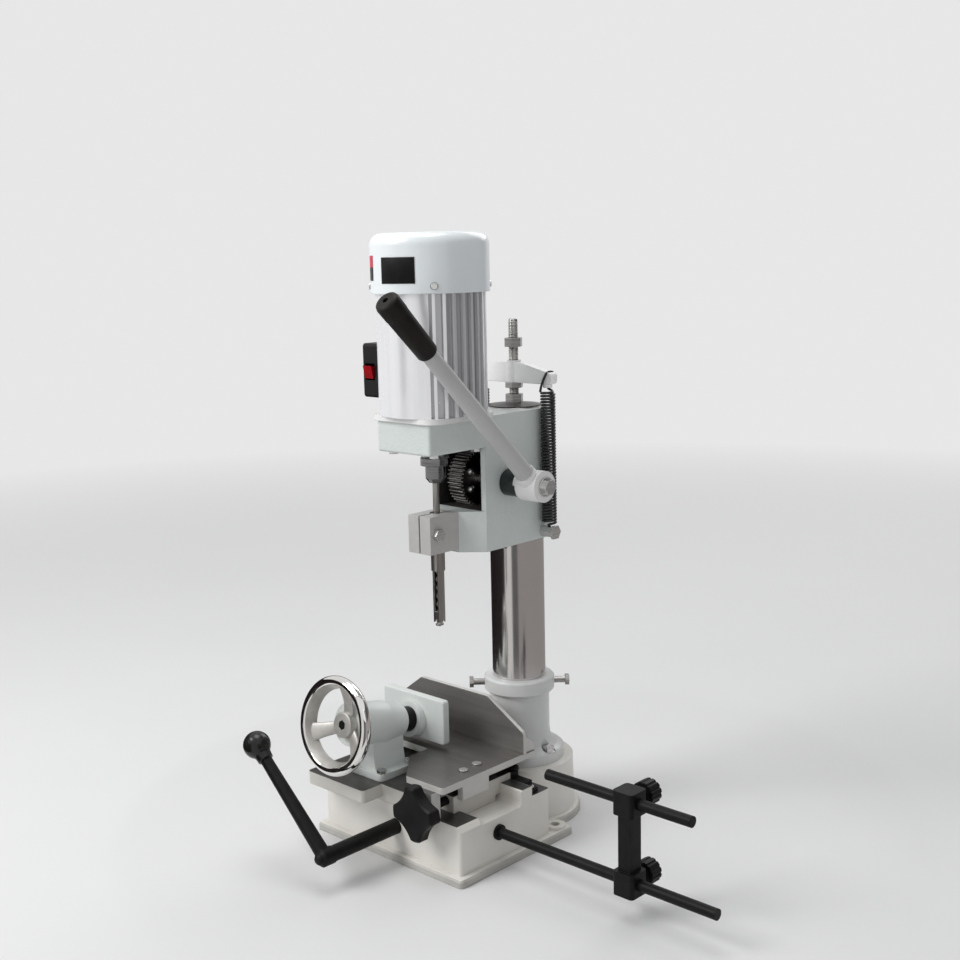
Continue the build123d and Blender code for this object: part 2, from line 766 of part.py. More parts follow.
# Head casting: column sleeve, open feed throat, chisel nose and motor arm
with BuildPart() as head_casting:
    slab(
        level(ARM_BOTTOM),
        (-HEAD_HALF, ARM_FRONT),
        (HEAD_HALF, HEAD_FRONT + 20),
        HEAD_TOP - ARM_BOTTOM,
    )
    fillet(head_casting.edges().filter_by(Axis.Z).group_by(Axis.Y)[0], ARM_CORNER)
    fillet(head_casting.faces().sort_by(Axis.Z)[0].edges(), ARM_CORNER - 0.5)
    round_bar(level(HEAD_BOTTOM), HEAD_HALF, HEAD_TOP - HEAD_BOTTOM)
    slab(
        level(HEAD_BOTTOM),
        (-HEAD_HALF, HEAD_FRONT),
        (HEAD_HALF, 0),
        HEAD_TOP - HEAD_BOTTOM,
    )
    outline_slab(
        level(HEAD_BOTTOM),
        [
            (HEAD_HALF, HEAD_FRONT),
            (HOLDER_HALF, HOLDER_BACK),
            (-HOLDER_HALF, HOLDER_BACK),
            (-HEAD_HALF, HEAD_FRONT),
        ],
        THROAT_BOTTOM - HEAD_BOTTOM,
    )
    # Bore for the column, throat for the pinion and the chuck
    round_bar(level(HEAD_BOTTOM - 1), COLUMN_R + RUN, 400, Mode.SUBTRACT)
    slab(
        level(THROAT_BOTTOM),
        (-HEAD_HALF + HEAD_WALL, HEAD_FRONT - 1),
        (HEAD_HALF - HEAD_WALL, -18),
        ARM_BOTTOM - THROAT_BOTTOM,
        Mode.SUBTRACT,
    )
    round_bar(
        side(PINION_LEFT - 2, FEED_Y, FEED_Z),
        PINION_R + MODULE + 1.5,
        PINION_RIGHT - PINION_LEFT + 4,
        Mode.SUBTRACT,
    )
    # Seats of the shaft bushes, the spindle and the anchor bolts
    round_bar(side(-HEAD_HALF - 1, FEED_Y, FEED_Z), BUSH_R, 100, Mode.SUBTRACT)
    round_bar(level(ARM_BOTTOM - 1, 0, SPINDLE_Y), 14, 60, Mode.SUBTRACT)
    for x in (-HEAD_HALF, HEAD_HALF - ANCHOR_DEPTH):
        round_bar(side(x, 0, ANCHOR_Z), 5, ANCHOR_DEPTH, Mode.SUBTRACT)
    for x in (-FLANGE_BOLT, FLANGE_BOLT):
        for y in (-FLANGE_BOLT, FLANGE_BOLT):
            hole = level(ARM_BOTTOM, x, SPINDLE_Y + y)
            round_bar(hole, FLANGE_BOLT_R, HEAD_TOP - ARM_BOTTOM, Mode.SUBTRACT)
save(head_casting, "head_casting")

with BuildPart() as shaft_bushes:
    for x in (-HEAD_HALF, HEAD_HALF - HEAD_WALL):
        round_bar(side(x, FEED_Y, FEED_Z), BUSH_R, HEAD_WALL)
        round_bar(
            side(x - 1, FEED_Y, FEED_Z), FEED_SHAFT_R + RUN, HEAD_WALL + 2, Mode.SUBTRACT
        )
save(shaft_bushes, "shaft_bushes")

# Split holder for the chisel, with its clamp bolt
with BuildPart() as chisel_holder:
    slab(
        level(HOLDER_BOTTOM),
        (-HOLDER_HALF, HOLDER_FRONT),
        (HOLDER_HALF, HOLDER_BACK),
        THROAT_BOTTOM - HOLDER_BOTTOM,
    )
    round_bar(level(HEAD_BOTTOM, 0, SPINDLE_Y), SHANK_R, 60, Mode.SUBTRACT)
    slab(
        level(HEAD_BOTTOM),
        (-1.1, HOLDER_FRONT - 1),
        (1.1, SPINDLE_Y),
        60,
        Mode.SUBTRACT,
    )
    round_bar(
        side(-HOLDER_HALF - 1, CLAMP_Y, CLAMP_Z), 4, 2 * HOLDER_HALF + 2, Mode.SUBTRACT
    )
save(chisel_holder, "chisel_holder")

with BuildPart() as chisel_clamp_bolt:
    round_bar(side(-HOLDER_HALF, CLAMP_Y, CLAMP_Z), 4, 2 * HOLDER_HALF + 1)
    hex_bar(side(HOLDER_HALF, CLAMP_Y, CLAMP_Z), 13, 5.5)
save(chisel_clamp_bolt, "chisel_clamp_bolt")

# Hollow chisel: round shank, square blade with four points and a chip window
with BuildPart() as hollow_chisel:
    round_bar(level(CHISEL_SHOULDER, 0, SPINDLE_Y), SHANK_R, CHISEL_TOP - CHISEL_SHOULDER)
    slab(
        level(CHISEL_TIP),
        (-CHISEL_HALF, SPINDLE_Y - CHISEL_HALF),
        (CHISEL_HALF, SPINDLE_Y + CHISEL_HALF),
        CHISEL_SHOULDER - CHISEL_TIP,
    )
    round_bar(level(CHISEL_TIP - 1, 0, SPINDLE_Y), BIT_R + 0.25, 140, Mode.SUBTRACT)
    slab(
        front(SPINDLE_Y),
        (-2.6, CHISEL_TIP + 13),
        (2.6, CHISEL_SHOULDER),
        CHISEL_HALF + 1,
        Mode.SUBTRACT,
    )
    for plane in (front(SPINDLE_Y + 10), side(-10, SPINDLE_Y)):
        outline_slab(
            plane,
            [
                (-CHISEL_HALF + 0.2, CHISEL_TIP - 1),
                (0, CHISEL_TIP + 4),
                (CHISEL_HALF - 0.2, CHISEL_TIP - 1),
            ],
            20,
            Mode.SUBTRACT,
        )
save(hollow_chisel, "hollow_chisel")

# Motor: square flange, finned barrel with a smooth front, rounded cap
with BuildPart() as motor_flange:
    slab(
        level(HEAD_TOP, 0, SPINDLE_Y),
        (-FLANGE_HALF, -FLANGE_HALF),
        (FLANGE_HALF, FLANGE_HALF),
        MOTOR_FLANGE_T,
        corner=FLANGE_CORNER,
    )
    round_bar(level(HEAD_TOP, 0, SPINDLE_Y), 14, MOTOR_FLANGE_T, Mode.SUBTRACT)
    for x in (-FLANGE_BOLT, FLANGE_BOLT):
        for y in (-FLANGE_BOLT, FLANGE_BOLT):
            hole = level(HEAD_TOP, x, SPINDLE_Y + y)
            round_bar(hole, FLANGE_BOLT_R, MOTOR_FLANGE_T, Mode.SUBTRACT)
save(motor_flange, "motor_flange")

# Bolts that hold the motor from below, through the arm and the flange
with BuildPart() as motor_flange_bolts:
    bolt_length = MOTOR_FLANGE_TOP + FLANGE_BOLT_DEPTH - ARM_BOTTOM
    for x in (-FLANGE_BOLT, FLANGE_BOLT):
        for y in (-FLANGE_BOLT, FLANGE_BOLT):
            round_bar(level(ARM_BOTTOM, x, SPINDLE_Y + y), FLANGE_BOLT_R, bolt_length)
            hex_bar(level(ARM_BOTTOM - 4, x, SPINDLE_Y + y), 10, 4)
save(motor_flange_bolts, "motor_flange_bolts")

with BuildPart() as motor_frame:
    with BuildSketch(level(MOTOR_FLANGE_TOP, 0, SPINDLE_Y)) as barrel:
        Circle(FIN_ROOT_R)
        fin_start = PANEL_HALF + 5 - 90
        fin_range = 350 - 2 * PANEL_HALF
        with PolarLocations(
            BARREL_R - 6, FIN_COUNT, fin_start, fin_range, endpoint=True
        ):
            Rectangle(12, FIN_T)
        with BuildLine():
            panel = CenterArc((0, 0), BARREL_R, 270 - PANEL_HALF, 2 * PANEL_HALF)
            Line((0, 0), panel @ 0)
            Line(panel @ 1, (0, 0))
        make_face()
        # Flat pad for the switch box
        with Locations((SWITCH_SEAT + 7, 0)):
            Rectangle(14, 2 * SWITCH_HALF)
        Circle(STATOR_R, mode=Mode.SUBTRACT)
    extrude(barrel.sketch, amount=BARREL_TOP - MOTOR_FLANGE_TOP)
    # Register that the cap fits over
    round_bar(level(BARREL_TOP, 0, SPINDLE_Y), CAP_R - CAP_WALL, REGISTER_T)
    round_bar(level(BARREL_TOP, 0, SPINDLE_Y), REGISTER_R, REGISTER_T, Mode.SUBTRACT)
    for x in (-FLANGE_BOLT, FLANGE_BOLT):
        for y in (-FLANGE_BOLT, FLANGE_BOLT):
            hole = level(MOTOR_FLANGE_TOP, x, SPINDLE_Y + y)
            round_bar(hole, FLANGE_BOLT_R, FLANGE_BOLT_DEPTH, Mode.SUBTRACT)
    for angle in CAP_SCREW_ANGLES:
        hole = spoke(angle, REGISTER_R + 4, CAP_SCREW_Z, SPINDLE_Y)
        round_bar(hole, CAP_SCREW_R, 20, Mode.SUBTRACT)
save(motor_frame, "motor_frame")

with BuildPart() as motor_cap:
    cap_base = level(0, 0, SPINDLE_Y)
    section = Plane(cap_base.origin, x_dir=(1, 0, 0), z_dir=(0, -1, 0))
    with BuildSketch(section) as cap_shape:
        with BuildLine():
            Line((CAP_R - CAP_WALL, BARREL_TOP), (CAP_R, BARREL_TOP))
            Line((CAP_R, BARREL_TOP), (CAP_R, CAP_TOP - CAP_EDGE))
            RadiusArc(
                (CAP_R, CAP_TOP - CAP_EDGE), (CAP_R - CAP_EDGE, CAP_TOP), -CAP_EDGE
            )
            Line((CAP_R - CAP_EDGE, CAP_TOP), (0, CAP_TOP))
            Line((0, CAP_TOP), (0, CAP_TOP - CAP_WALL))
            Line((0, CAP_TOP - CAP_WALL), (CAP_R - CAP_EDGE, CAP_TOP - CAP_WALL))
            Line(
                (CAP_R - CAP_EDGE, CAP_TOP - CAP_WALL),
                (CAP_R - CAP_WALL, CAP_TOP - CAP_EDGE),
            )
            Line((CAP_R - CAP_WALL, CAP_TOP - CAP_EDGE), (CAP_R - CAP_WALL, BARREL_TOP))
        make_face()
    revolve(cap_shape.sketch, axis=Axis(cap_base.origin, (0, 0, 1)))
    # Air slots over the fan, then spot faces and holes for the screws in the skirt
    slot_inner = CAP_R / 4
    slot_outer = CAP_R - CAP_EDGE - 6
    for k in range(VENT_COUNT):
        turn = 2 * math.pi * k / VENT_COUNT
        under_top = level(CAP_TOP - CAP_WALL - 1, 0, SPINDLE_Y)
        vent = Plane(under_top.origin, x_dir=(math.cos(turn), math.sin(turn), 0))
        slab(vent, (slot_inner, -2), (slot_outer, 2), CAP_WALL + 2, Mode.SUBTRACT)
    for angle in CAP_SCREW_ANGLES:
        seat = spoke(angle, CAP_R - 1, CAP_SCREW_Z, SPINDLE_Y)
        round_bar(seat, CAP_SCREW_HEAD + 0.5, 5, Mode.SUBTRACT)
        round_bar(seat.offset(-CAP_WALL - 1), CAP_SCREW_R, CAP_WALL + 2, Mode.SUBTRACT)
save(motor_cap, "motor_cap")

with BuildPart() as cap_screws:
    for angle in CAP_SCREW_ANGLES:
        seat = spoke(angle, CAP_R - 1, CAP_SCREW_Z, SPINDLE_Y)
        round_bar(seat.offset(-12), CAP_SCREW_R, 12)
        round_bar(seat, CAP_SCREW_HEAD, 2.5)
save(cap_screws, "cap_screws")

# Switch box on the left of the motor, with a rocker in its front
with BuildPart() as switch_box:
    slab(
        side(SWITCH_LEFT, SPINDLE_Y),
        (-SWITCH_HALF, SWITCH_LOW),
        (SWITCH_HALF, SWITCH_HIGH),
        SWITCH_SEAT - SWITCH_LEFT,
        corner=4,
    )
    slab(
        front(SWITCH_FACE + 9, ROCKER_X, ROCKER_Z),
        (-ROCKER_HALF_X - 1, -ROCKER_HALF_Z - 2),
        (ROCKER_HALF_X + 1, ROCKER_HALF_Z + 2),
        10,
        Mode.SUBTRACT,
    )
    for way in (-1, 1):
        pin = ROCKER_X + way * (ROCKER_HALF_X + 2.5)
        round_bar(side(pin - 2.5, SWITCH_FACE + 3, ROCKER_Z), 1.5, 5, Mode.SUBTRACT)
save(switch_box, "switch_box")

with BuildPart() as switch_rocker:
    outline_slab(
        side(ROCKER_X - ROCKER_HALF_X, SWITCH_FACE, ROCKER_Z),
        [
            (5.5, -5),
            (-1.5, -ROCKER_HALF_Z),
            (-3.2, 0),
            (-4.8, ROCKER_HALF_Z),
            (5.5, 5),
        ],
        2 * ROCKER_HALF_X,
    )
    round_bar(
        side(ROCKER_X - ROCKER_HALF_X - 3, SWITCH_FACE + 3, ROCKER_Z),
        1.5 - RUN,
        2 * ROCKER_HALF_X + 6,
    )
save(switch_rocker, "switch_rocker")

# Spindle: motor shaft and rotor, cooling fan, drill chuck and auger bit
with BuildPart() as spindle_shaft:
    turned(
        level(0, 0, SPINDLE_Y),
        [
            (0, CHUCK_TOP - SHAFT_IN_CHUCK),
            (5, CHUCK_TOP - SHAFT_IN_CHUCK),
            (5, CHUCK_TOP),
            (12, CHUCK_TOP),
            (12, MOTOR_FLANGE_TOP + 15),
            (STATOR_R - 1, MOTOR_FLANGE_TOP + 19),
            (STATOR_R - 1, BARREL_TOP - 19),
            (12, BARREL_TOP - 15),
            (12, FAN_Z - 2),
            (6, FAN_Z - 2),
            (6, FAN_Z + FAN_T + 4),
            (0, FAN_Z + FAN_T + 4),
        ],
    )
save(spindle_shaft, "spindle_shaft")

with BuildPart() as cooling_fan:
    round_bar(level(FAN_Z, 0, SPINDLE_Y), 13, FAN_T)
    round_bar(level(FAN_Z, 0, SPINDLE_Y), FAN_R + 1, 2)
    for k in range(6):
        turn = math.radians(60 * k)
        blade = Plane(
            (COLUMN_X, COLUMN_Y + SPINDLE_Y, FAN_Z + 1),
            x_dir=(math.cos(turn), math.sin(turn), 0),
            z_dir=(0, 0, 1),
        )
        slab(blade, (12, -1), (FAN_R, 1), FAN_T - 2)
    round_bar(level(FAN_Z, 0, SPINDLE_Y), 6, FAN_T, Mode.SUBTRACT)
save(cooling_fan, "cooling_fan")

with BuildPart() as drill_chuck:
    turned(
        level(0, 0, SPINDLE_Y),
        [
            (0, CHUCK_BOTTOM),
            (7.5, CHUCK_BOTTOM),
            (11.6, CHUCK_BOTTOM + 5),
            (11.6, CHUCK_TOP - 11),
            (17, CHUCK_TOP - 10),
            (17, CHUCK_TOP - 1.5),
            (15.5, CHUCK_TOP),
            (0, CHUCK_TOP),
        ],
    )
    round_bar(level(CHUCK_TOP - SHAFT_IN_CHUCK, 0, SPINDLE_Y), 5, 20, Mode.SUBTRACT)
    round_bar(level(CHUCK_BOTTOM, 0, SPINDLE_Y), BIT_R, BIT_IN_CHUCK, Mode.SUBTRACT)
save(drill_chuck, "drill_chuck")

with BuildPart() as auger_bit:
    turned(
        level(0, 0, SPINDLE_Y),
        [
            (0, CHISEL_TIP - 6),
            (1, CHISEL_TIP - 4.4),
            (CHISEL_HALF - 0.1, CHISEL_TIP - 4),
            (CHISEL_HALF - 0.1, CHISEL_TIP - 2),
            (BIT_R, CHISEL_TIP - 1),
            (BIT_R, CHUCK_BOTTOM + BIT_IN_CHUCK),
            (0, CHUCK_BOTTOM + BIT_IN_CHUCK),
        ],
    )
save(auger_bit, "auger_bit")

# Feed shaft and pinion, with lightening holes in the web
with BuildPart() as feed_shaft:
    round_bar(side(-HEAD_HALF - 5, FEED_Y, FEED_Z), FEED_SHAFT_R, HUB_END + HEAD_HALF + 5)
save(feed_shaft, "feed_shaft")

with BuildPart() as feed_pinion:
    # A tooth of the pinion stands in the rack's nearest space
    past_space = space_offset(FEED_Z - RACK_LOW, RACK_HIGH - RACK_LOW)
    tooth_turn = -past_space / PINION_R
    outline_slab(
        side(PINION_LEFT, FEED_Y, FEED_Z),
        gear_profile(PINION_TEETH, tooth_turn),
        PINION_RIGHT - PINION_LEFT,
    )
    for k in range(6):
        turn = math.radians(60 * k + 30)
        hole_y = FEED_Y + 21 * math.cos(turn)
        hole_z = FEED_Z + 21 * math.sin(turn)
        round_bar(side(PINION_LEFT - 1, hole_y, hole_z), 4.5, 60, Mode.SUBTRACT)
    round_bar(side(PINION_LEFT - 1, FEED_Y, FEED_Z), FEED_SHAFT_R, 60, Mode.SUBTRACT)
save(feed_pinion, "feed_pinion")


def dog_teeth(plane, first_angle, length):
    """Four clutch teeth on the face of a collar."""
    for k in range(4):
        turn = first_angle + 90 * k
        with BuildSketch(plane) as tooth:
            with BuildLine():
                rim = CenterArc((0, 0), DOG_R, turn + 1, 43)
                inner = CenterArc((0, 0), FEED_SHAFT_R, turn + 1, 43)
                Line(inner @ 0, rim @ 0)
                Line(rim @ 1, inner @ 1)
            make_face()
        extrude(tooth.sketch, amount=length)


# Dog collar and lever hub, whose teeth mesh so that the lever can be set anew
with BuildPart() as dog_collar:
    round_bar(side(DOG_START, FEED_Y, FEED_Z), DOG_R, DOG_END - DOG_START)
    dog_teeth(side(DOG_END, FEED_Y, FEED_Z), 0, HUB_START - DOG_END)
    round_bar(side(0, FEED_Y, FEED_Z), FEED_SHAFT_R, 100, Mode.SUBTRACT)
save(dog_collar, "dog_collar")

with BuildPart() as lever_hub:
    round_bar(side(HUB_START, FEED_Y, FEED_Z), HUB_R, HUB_END - HUB_START)
    dog_teeth(side(HUB_START, FEED_Y, FEED_Z), 45, DOG_END - HUB_START)
    round_bar(on_lever(0), SOCKET_R, SOCKET_END)
    round_bar(on_lever(ARM_START), ARM_R, 60, Mode.SUBTRACT)
    round_bar(side(0, FEED_Y, FEED_Z), FEED_SHAFT_R, 200, Mode.SUBTRACT)
save(lever_hub, "lever_hub")

with BuildPart() as hub_bolt:
    round_bar(side(HUB_END, FEED_Y, FEED_Z), 11, 2.5)
    hex_bar(side(HUB_END + 2.5, FEED_Y, FEED_Z), 16, 6.5)
save(hub_bolt, "hub_bolt")

with BuildPart() as lever_arm:
    round_bar(on_lever(ARM_START), ARM_R, SOCKET_END - ARM_START)
    cone_bar(
        on_lever(SOCKET_END), ARM_R, ARM_END_R, LEVER_LENGTH - GRIP_LENGTH - SOCKET_END
    )
    round_bar(on_lever(LEVER_LENGTH - GRIP_LENGTH), ARM_END_R, 16)
save(lever_arm, "lever_arm")

with BuildPart() as lever_grip:
    turned(
        on_lever(LEVER_LENGTH - GRIP_LENGTH),
        [
            (0, 0),
            (11, 0),
            (12, 1.5),
            (13.5, GRIP_LENGTH - 8),
            (12.6, GRIP_LENGTH - 3),
            (10, GRIP_LENGTH),
            (0, GRIP_LENGTH),
        ],
    )
    round_bar(on_lever(LEVER_LENGTH - GRIP_LENGTH), ARM_END_R, 16, Mode.SUBTRACT)
    round_bar(on_lever(LEVER_LENGTH - 9), 4, 20, Mode.SUBTRACT)
save(lever_grip, "lever_grip")

# Cross slide: a saddle with a tongue in the base's channel and a wing for the vise
with BuildPart() as saddle:
    slab(
        level(FRONT_LAND_Z + SLIDE),
        (SADDLE_LEFT, SADDLE_FRONT),
        (SADDLE_RIGHT, CHANNEL_REAR - SLIDE),
        SADDLE_TOP - FRONT_LAND_Z - SLIDE,
    )
    slab(
        level(CHANNEL_Z + SLIDE),
        (SADDLE_LEFT, CHANNEL_FRONT + SLIDE),
        (SADDLE_RIGHT, CHANNEL_REAR - RAIL_FILLET - 2),
        10,
    )
    slab(
        level(REAR_RAIL_Z + SLIDE),
        (SADDLE_LEFT, CHANNEL_REAR - 10),
        (SADDLE_RIGHT, GUIDE_FRONT),
        SADDLE_TOP - REAR_RAIL_Z - SLIDE,
    )
    slab(
        level(SADDLE_TOP - 15),
        (SADDLE_LEFT, WING_FRONT),
        (WING_RIGHT, SADDLE_FRONT + 20),
        15,
        corner=5,
    )
    slab(
        level(FRONT_LAND_Z),
        (BAY_LEFT, SADDLE_FRONT - 1),
        (SADDLE_RIGHT + 1, BAY_BACK),
        40,
        Mode.SUBTRACT,
    )
    round_bar(
        front(TABLE_SCREW_END + 10, STAR_X, STAR_Z), TABLE_SCREW_R + RUN, 70, Mode.SUBTRACT
    )
    # Groove that the rack is let into
    slab(
        level(CHANNEL_Z),
        (CROSS_RACK_LEFT, RACK_MID_Y - RACK_HALF_Y),
        (CROSS_RACK_RIGHT, RACK_MID_Y + RACK_HALF_Y),
        CROSS_RACK_TOP - CHANNEL_Z,
        Mode.SUBTRACT,
    )
    for x in (-BRACKET_BOLT_X, BRACKET_BOLT_X):
        for y in BRACKET_BOLT_Y:
            round_bar(level(SADDLE_TOP - 10, VISE_X + x, y), 3, 20, Mode.SUBTRACT)
save(saddle, "saddle")

# Guide bar that hooks the saddle behind the rear rail, with a round lock rod on it
with BuildPart() as saddle_guide_bar:
    slab(
        level(RAIL_STEP_Z + FREE),
        (SADDLE_LEFT, GUIDE_FRONT),
        (GUIDE_RIGHT, GUIDE_FRONT + GUIDE_T),
        REAR_RAIL_Z - RAIL_STEP_Z - FREE,
    )
    slab(
        level(REAR_RAIL_Z),
        (SADDLE_LEFT, GUIDE_FRONT),
        (SADDLE_RIGHT, GUIDE_FRONT + GUIDE_T),
        SADDLE_TOP - REAR_RAIL_Z,
    )
    slab(
        level(REAR_RAIL_Z - 6),
        (GUIDE_RIGHT - 9, GUIDE_FRONT),
        (GUIDE_RIGHT, GUIDE_FRONT + GUIDE_T),
        6,
        Mode.SUBTRACT,
    )
    rod_start = side(14, GUIDE_FRONT + 5.5, SADDLE_TOP + 4)
    turned(rod_start, [(0, 0), (5, 0), (5, 46), (4, 49), (2, 50), (0, 50)])
save(saddle_guide_bar, "saddle_guide_bar")

with BuildPart() as saddle_rack:
    outline_slab(
        front(RACK_MID_Y + RACK_HALF_Y, CROSS_RACK_LEFT, CROSS_PITCH_Z),
        rack_profile(
            CROSS_RACK_RIGHT - CROSS_RACK_LEFT, CROSS_RACK_TOP - CROSS_PITCH_Z, flip=-1
        ),
        2 * RACK_HALF_Y,
    )
save(saddle_rack, "saddle_rack")

# Crank: shaft with its pinion under the rack, straight arm and ball
with BuildPart() as crank_shaft:
    round_bar(front(-112, CRANK_X, CRANK_Z), CRANK_SHAFT_R, -112 - CRANK_PLANE - 9)
save(crank_shaft, "crank_shaft")

with BuildPart() as crank_pinion:
    past_space = space_offset(
        CRANK_X - CROSS_RACK_LEFT, CROSS_RACK_RIGHT - CROSS_RACK_LEFT
    )
    outline_slab(
        front(RACK_MID_Y + RACK_HALF_Y - FREE, CRANK_X, CRANK_Z),
        gear_profile(CRANK_TEETH, math.pi / 2 + past_space / CRANK_R),
        2 * (RACK_HALF_Y - FREE),
    )
    round_bar(front(RACK_MID_Y + 10, CRANK_X, CRANK_Z), CRANK_SHAFT_R, 20, Mode.SUBTRACT)
save(crank_pinion, "crank_pinion")

crank_turn = math.radians(CRANK_ANGLE)
crank_way = Vector(math.cos(crank_turn), 0, math.sin(crank_turn))
crank_root = Vector(COLUMN_X + CRANK_X, COLUMN_Y + CRANK_PLANE, CRANK_Z)
with BuildPart() as crank_arm:
    turned(
        front(CRANK_PLANE + 9, CRANK_X, CRANK_Z),
        [
            (0, 0),
            (CRANK_HUB_R, 0),
            (CRANK_HUB_R, 14),
            (CRANK_HUB_R - 3, 17),
            (6.5, 17),
            (6.5, 18.5),
            (4, 21),
            (0, 21.5),
        ],
    )
    arm_plane = Plane(crank_root + crank_way * 5, x_dir=(0, 1, 0), z_dir=crank_way)
    arm_length = CRANK_LENGTH - BALL_NECK - 5
    cone_bar(arm_plane, CRANK_HUB_R - 1.5, CRANK_TIP_R, arm_length)
    round_bar(arm_plane.offset(arm_length), CRANK_PIN_R, BALL_NECK - 8)
save(crank_arm, "crank_arm")

# Ball with a short flared neck, turned as one piece
with BuildPart() as crank_ball:
    ball_plane = Plane(crank_root + crank_way * CRANK_LENGTH, z_dir=crank_way)
    ball_points = [(0, -BALL_NECK), (CRANK_TIP_R + 2, -BALL_NECK), (CRANK_TIP_R + 2.4, -BALL_NECK + 5)]
    for k in range(12):
        turn = math.radians(-48 + 11.5 * k)
        ball_points.append((BALL_R * math.cos(turn), BALL_R * math.sin(turn)))
    turned(ball_plane, ball_points + [(0, BALL_R)])
    round_bar(ball_plane.offset(-BALL_NECK), CRANK_PIN_R, BALL_NECK - 8, Mode.SUBTRACT)
save(crank_ball, "crank_ball")

# Table on the saddle, its fence, and the star knob that moves it in and out
with BuildPart() as work_table:
    rounded_slab(
        level(TABLE_BOTTOM),
        [
            (TABLE_RIGHT, BASE_FRONT),
            (8, BASE_FRONT),
            (-33, -158),
            (-33, -128),
            (TABLE_LEFT, -128),
            (TABLE_LEFT, TABLE_BACK),
            (TABLE_RIGHT, TABLE_BACK),
        ],
        4,
        TABLE_TOP - TABLE_BOTTOM,
    )
    guide_bottom = SADDLE_TOP + SLIDE
    for left, right, near in ((-25, 5, -165), (-125, -105, -126)):
        slab(level(guide_bottom), (left, near), (right, -60), TABLE_BOTTOM - guide_bottom)
    slab(level(80.6), (SADDLE_RIGHT + 0.3, -171), (TABLE_RIGHT, -128), TABLE_BOTTOM - 80)
    lug_low = (STAR_X - 10, SCREW_LUG_FRONT)
    lug_high = (STAR_X + 10, SCREW_LUG_FRONT + 14)
    slab(level(66), lug_low, lug_high, TABLE_BOTTOM - 65)
    round_bar(front(-150, STAR_X, STAR_Z), TABLE_SCREW_R + RUN, 80, Mode.SUBTRACT)
    # Step that the fence stands in, and spot faces under the pins' heads
    slab(
        level(FENCE_SEAT),
        (TABLE_LEFT - 1, FENCE_FACE - 0.5),
        (TABLE_RIGHT + 1, TABLE_BACK + 1),
        10,
        Mode.SUBTRACT,
    )
    for x, y in TABLE_PIN_SPOTS:
        round_bar(level(TABLE_BOTTOM, x, y), TABLE_PIN_R, 20, Mode.SUBTRACT)
        round_bar(level(PIN_SEAT, x, y), PIN_HEAD_R + 0.6, 10, Mode.SUBTRACT)
save(work_table, "work_table")

with BuildPart() as table_pins:
    for x, y in TABLE_PIN_SPOTS:
        round_bar(level(TABLE_BOTTOM + 2, x, y), TABLE_PIN_R, PIN_SEAT - TABLE_BOTTOM)
        round_bar(level(PIN_SEAT, x, y), PIN_HEAD_R, 2.5)
save(table_pins, "table_pins")

with BuildPart() as fence:
    rounded_slab(
        front(FENCE_BACK),
        [
            (TABLE_LEFT, FENCE_SEAT - 20),
            (TABLE_LEFT, 130),
            (-104, FENCE_TOP),
            (9, FENCE_TOP),
            (TABLE_RIGHT, 130),
            (TABLE_RIGHT, FENCE_SEAT - 20),
        ],
        7,
        FENCE_T,
    )
    slab(
        level(FENCE_SEAT - 30),
        (TABLE_LEFT - 1, FENCE_FACE - 1),
        (TABLE_RIGHT + 1, FENCE_BACK + 1),
        30,
        Mode.SUBTRACT,
    )
    for x in (TABLE_RIGHT - 9, TABLE_LEFT + 2):
        outline_slab(
            side(x),
            [
                (FENCE_BACK, FENCE_SEAT),
                (TABLE_BACK - 1, FENCE_SEAT),
                (TABLE_BACK - 1, FENCE_SEAT + 9),
                (FENCE_BACK, FENCE_SEAT + 22),
            ],
            7,
        )
save(fence, "fence")

with BuildPart() as table_feed_screw:
    round_bar(front(TABLE_SCREW_END, STAR_X, STAR_Z), TABLE_SCREW_R, TABLE_SCREW_END - STAR_BACK + 9)
save(table_feed_screw, "table_feed_screw")

with BuildPart() as star_knob:
    with BuildSketch(front(STAR_BACK, STAR_X, STAR_Z)) as star:
        Circle(STAR_R)
        first_valley = STAR_TURN + 180 / STAR_LOBES
        with PolarLocations(STAR_VALLEY + STAR_SCALLOP, STAR_LOBES, first_valley):
            Circle(STAR_SCALLOP, mode=Mode.SUBTRACT)
        fillet(star.vertices(), 4)
    extrude(star.sketch, amount=STAR_T)
    chamfer(star_knob.faces().sort_by(Axis.Y)[0].edges(), 2.5)
    round_bar(front(STAR_BACK, STAR_X, STAR_Z), TABLE_SCREW_R, 9, Mode.SUBTRACT)
save(star_knob, "star_knob")

# Vise: bracket on the saddle, screw with a handwheel, ram and jaw
with BuildPart() as vise_bracket:
    slab(
        level(SADDLE_TOP, VISE_X),
        (-BRACKET_HALF, BRACKET_FRONT),
        (BRACKET_HALF, BRACKET_BACK),
        BRACKET_FOOT,
        corner=7,
    )
    outline_slab(
        front(-151, VISE_X),
        [
            (-18.8, BRACKET_TOP - 1),
            (18.8, BRACKET_TOP - 1),
            (16.5, BRACKET_TOP + 5),
            (15, BRACKET_TOP + 15),
            (15, VISE_Z + 3.5),
            (-15, VISE_Z + 3.5),
            (-15, BRACKET_TOP + 15),
            (-16.5, BRACKET_TOP + 5),
        ],
        47,
    )
    turned(
        on_vise(BOSS_START),
        [
            (0, 0),
            (BOSS_BACK_R, 0),
            (BOSS_R, BOSS_TAPER),
            (BOSS_R, BOSS_END - BOSS_START),
            (0, BOSS_END - BOSS_START),
        ],
    )
    round_bar(on_vise(BOSS_START - 1), RAM_R + RUN, 65, Mode.SUBTRACT)
    round_bar(on_vise(BOSS_START), VISE_NECK_R + RUN, 100, Mode.SUBTRACT)
    for x in (-BRACKET_BOLT_X, BRACKET_BOLT_X):
        for y in BRACKET_BOLT_Y:
            round_bar(level(SADDLE_TOP - 1, VISE_X + x, y), 3, 20, Mode.SUBTRACT)
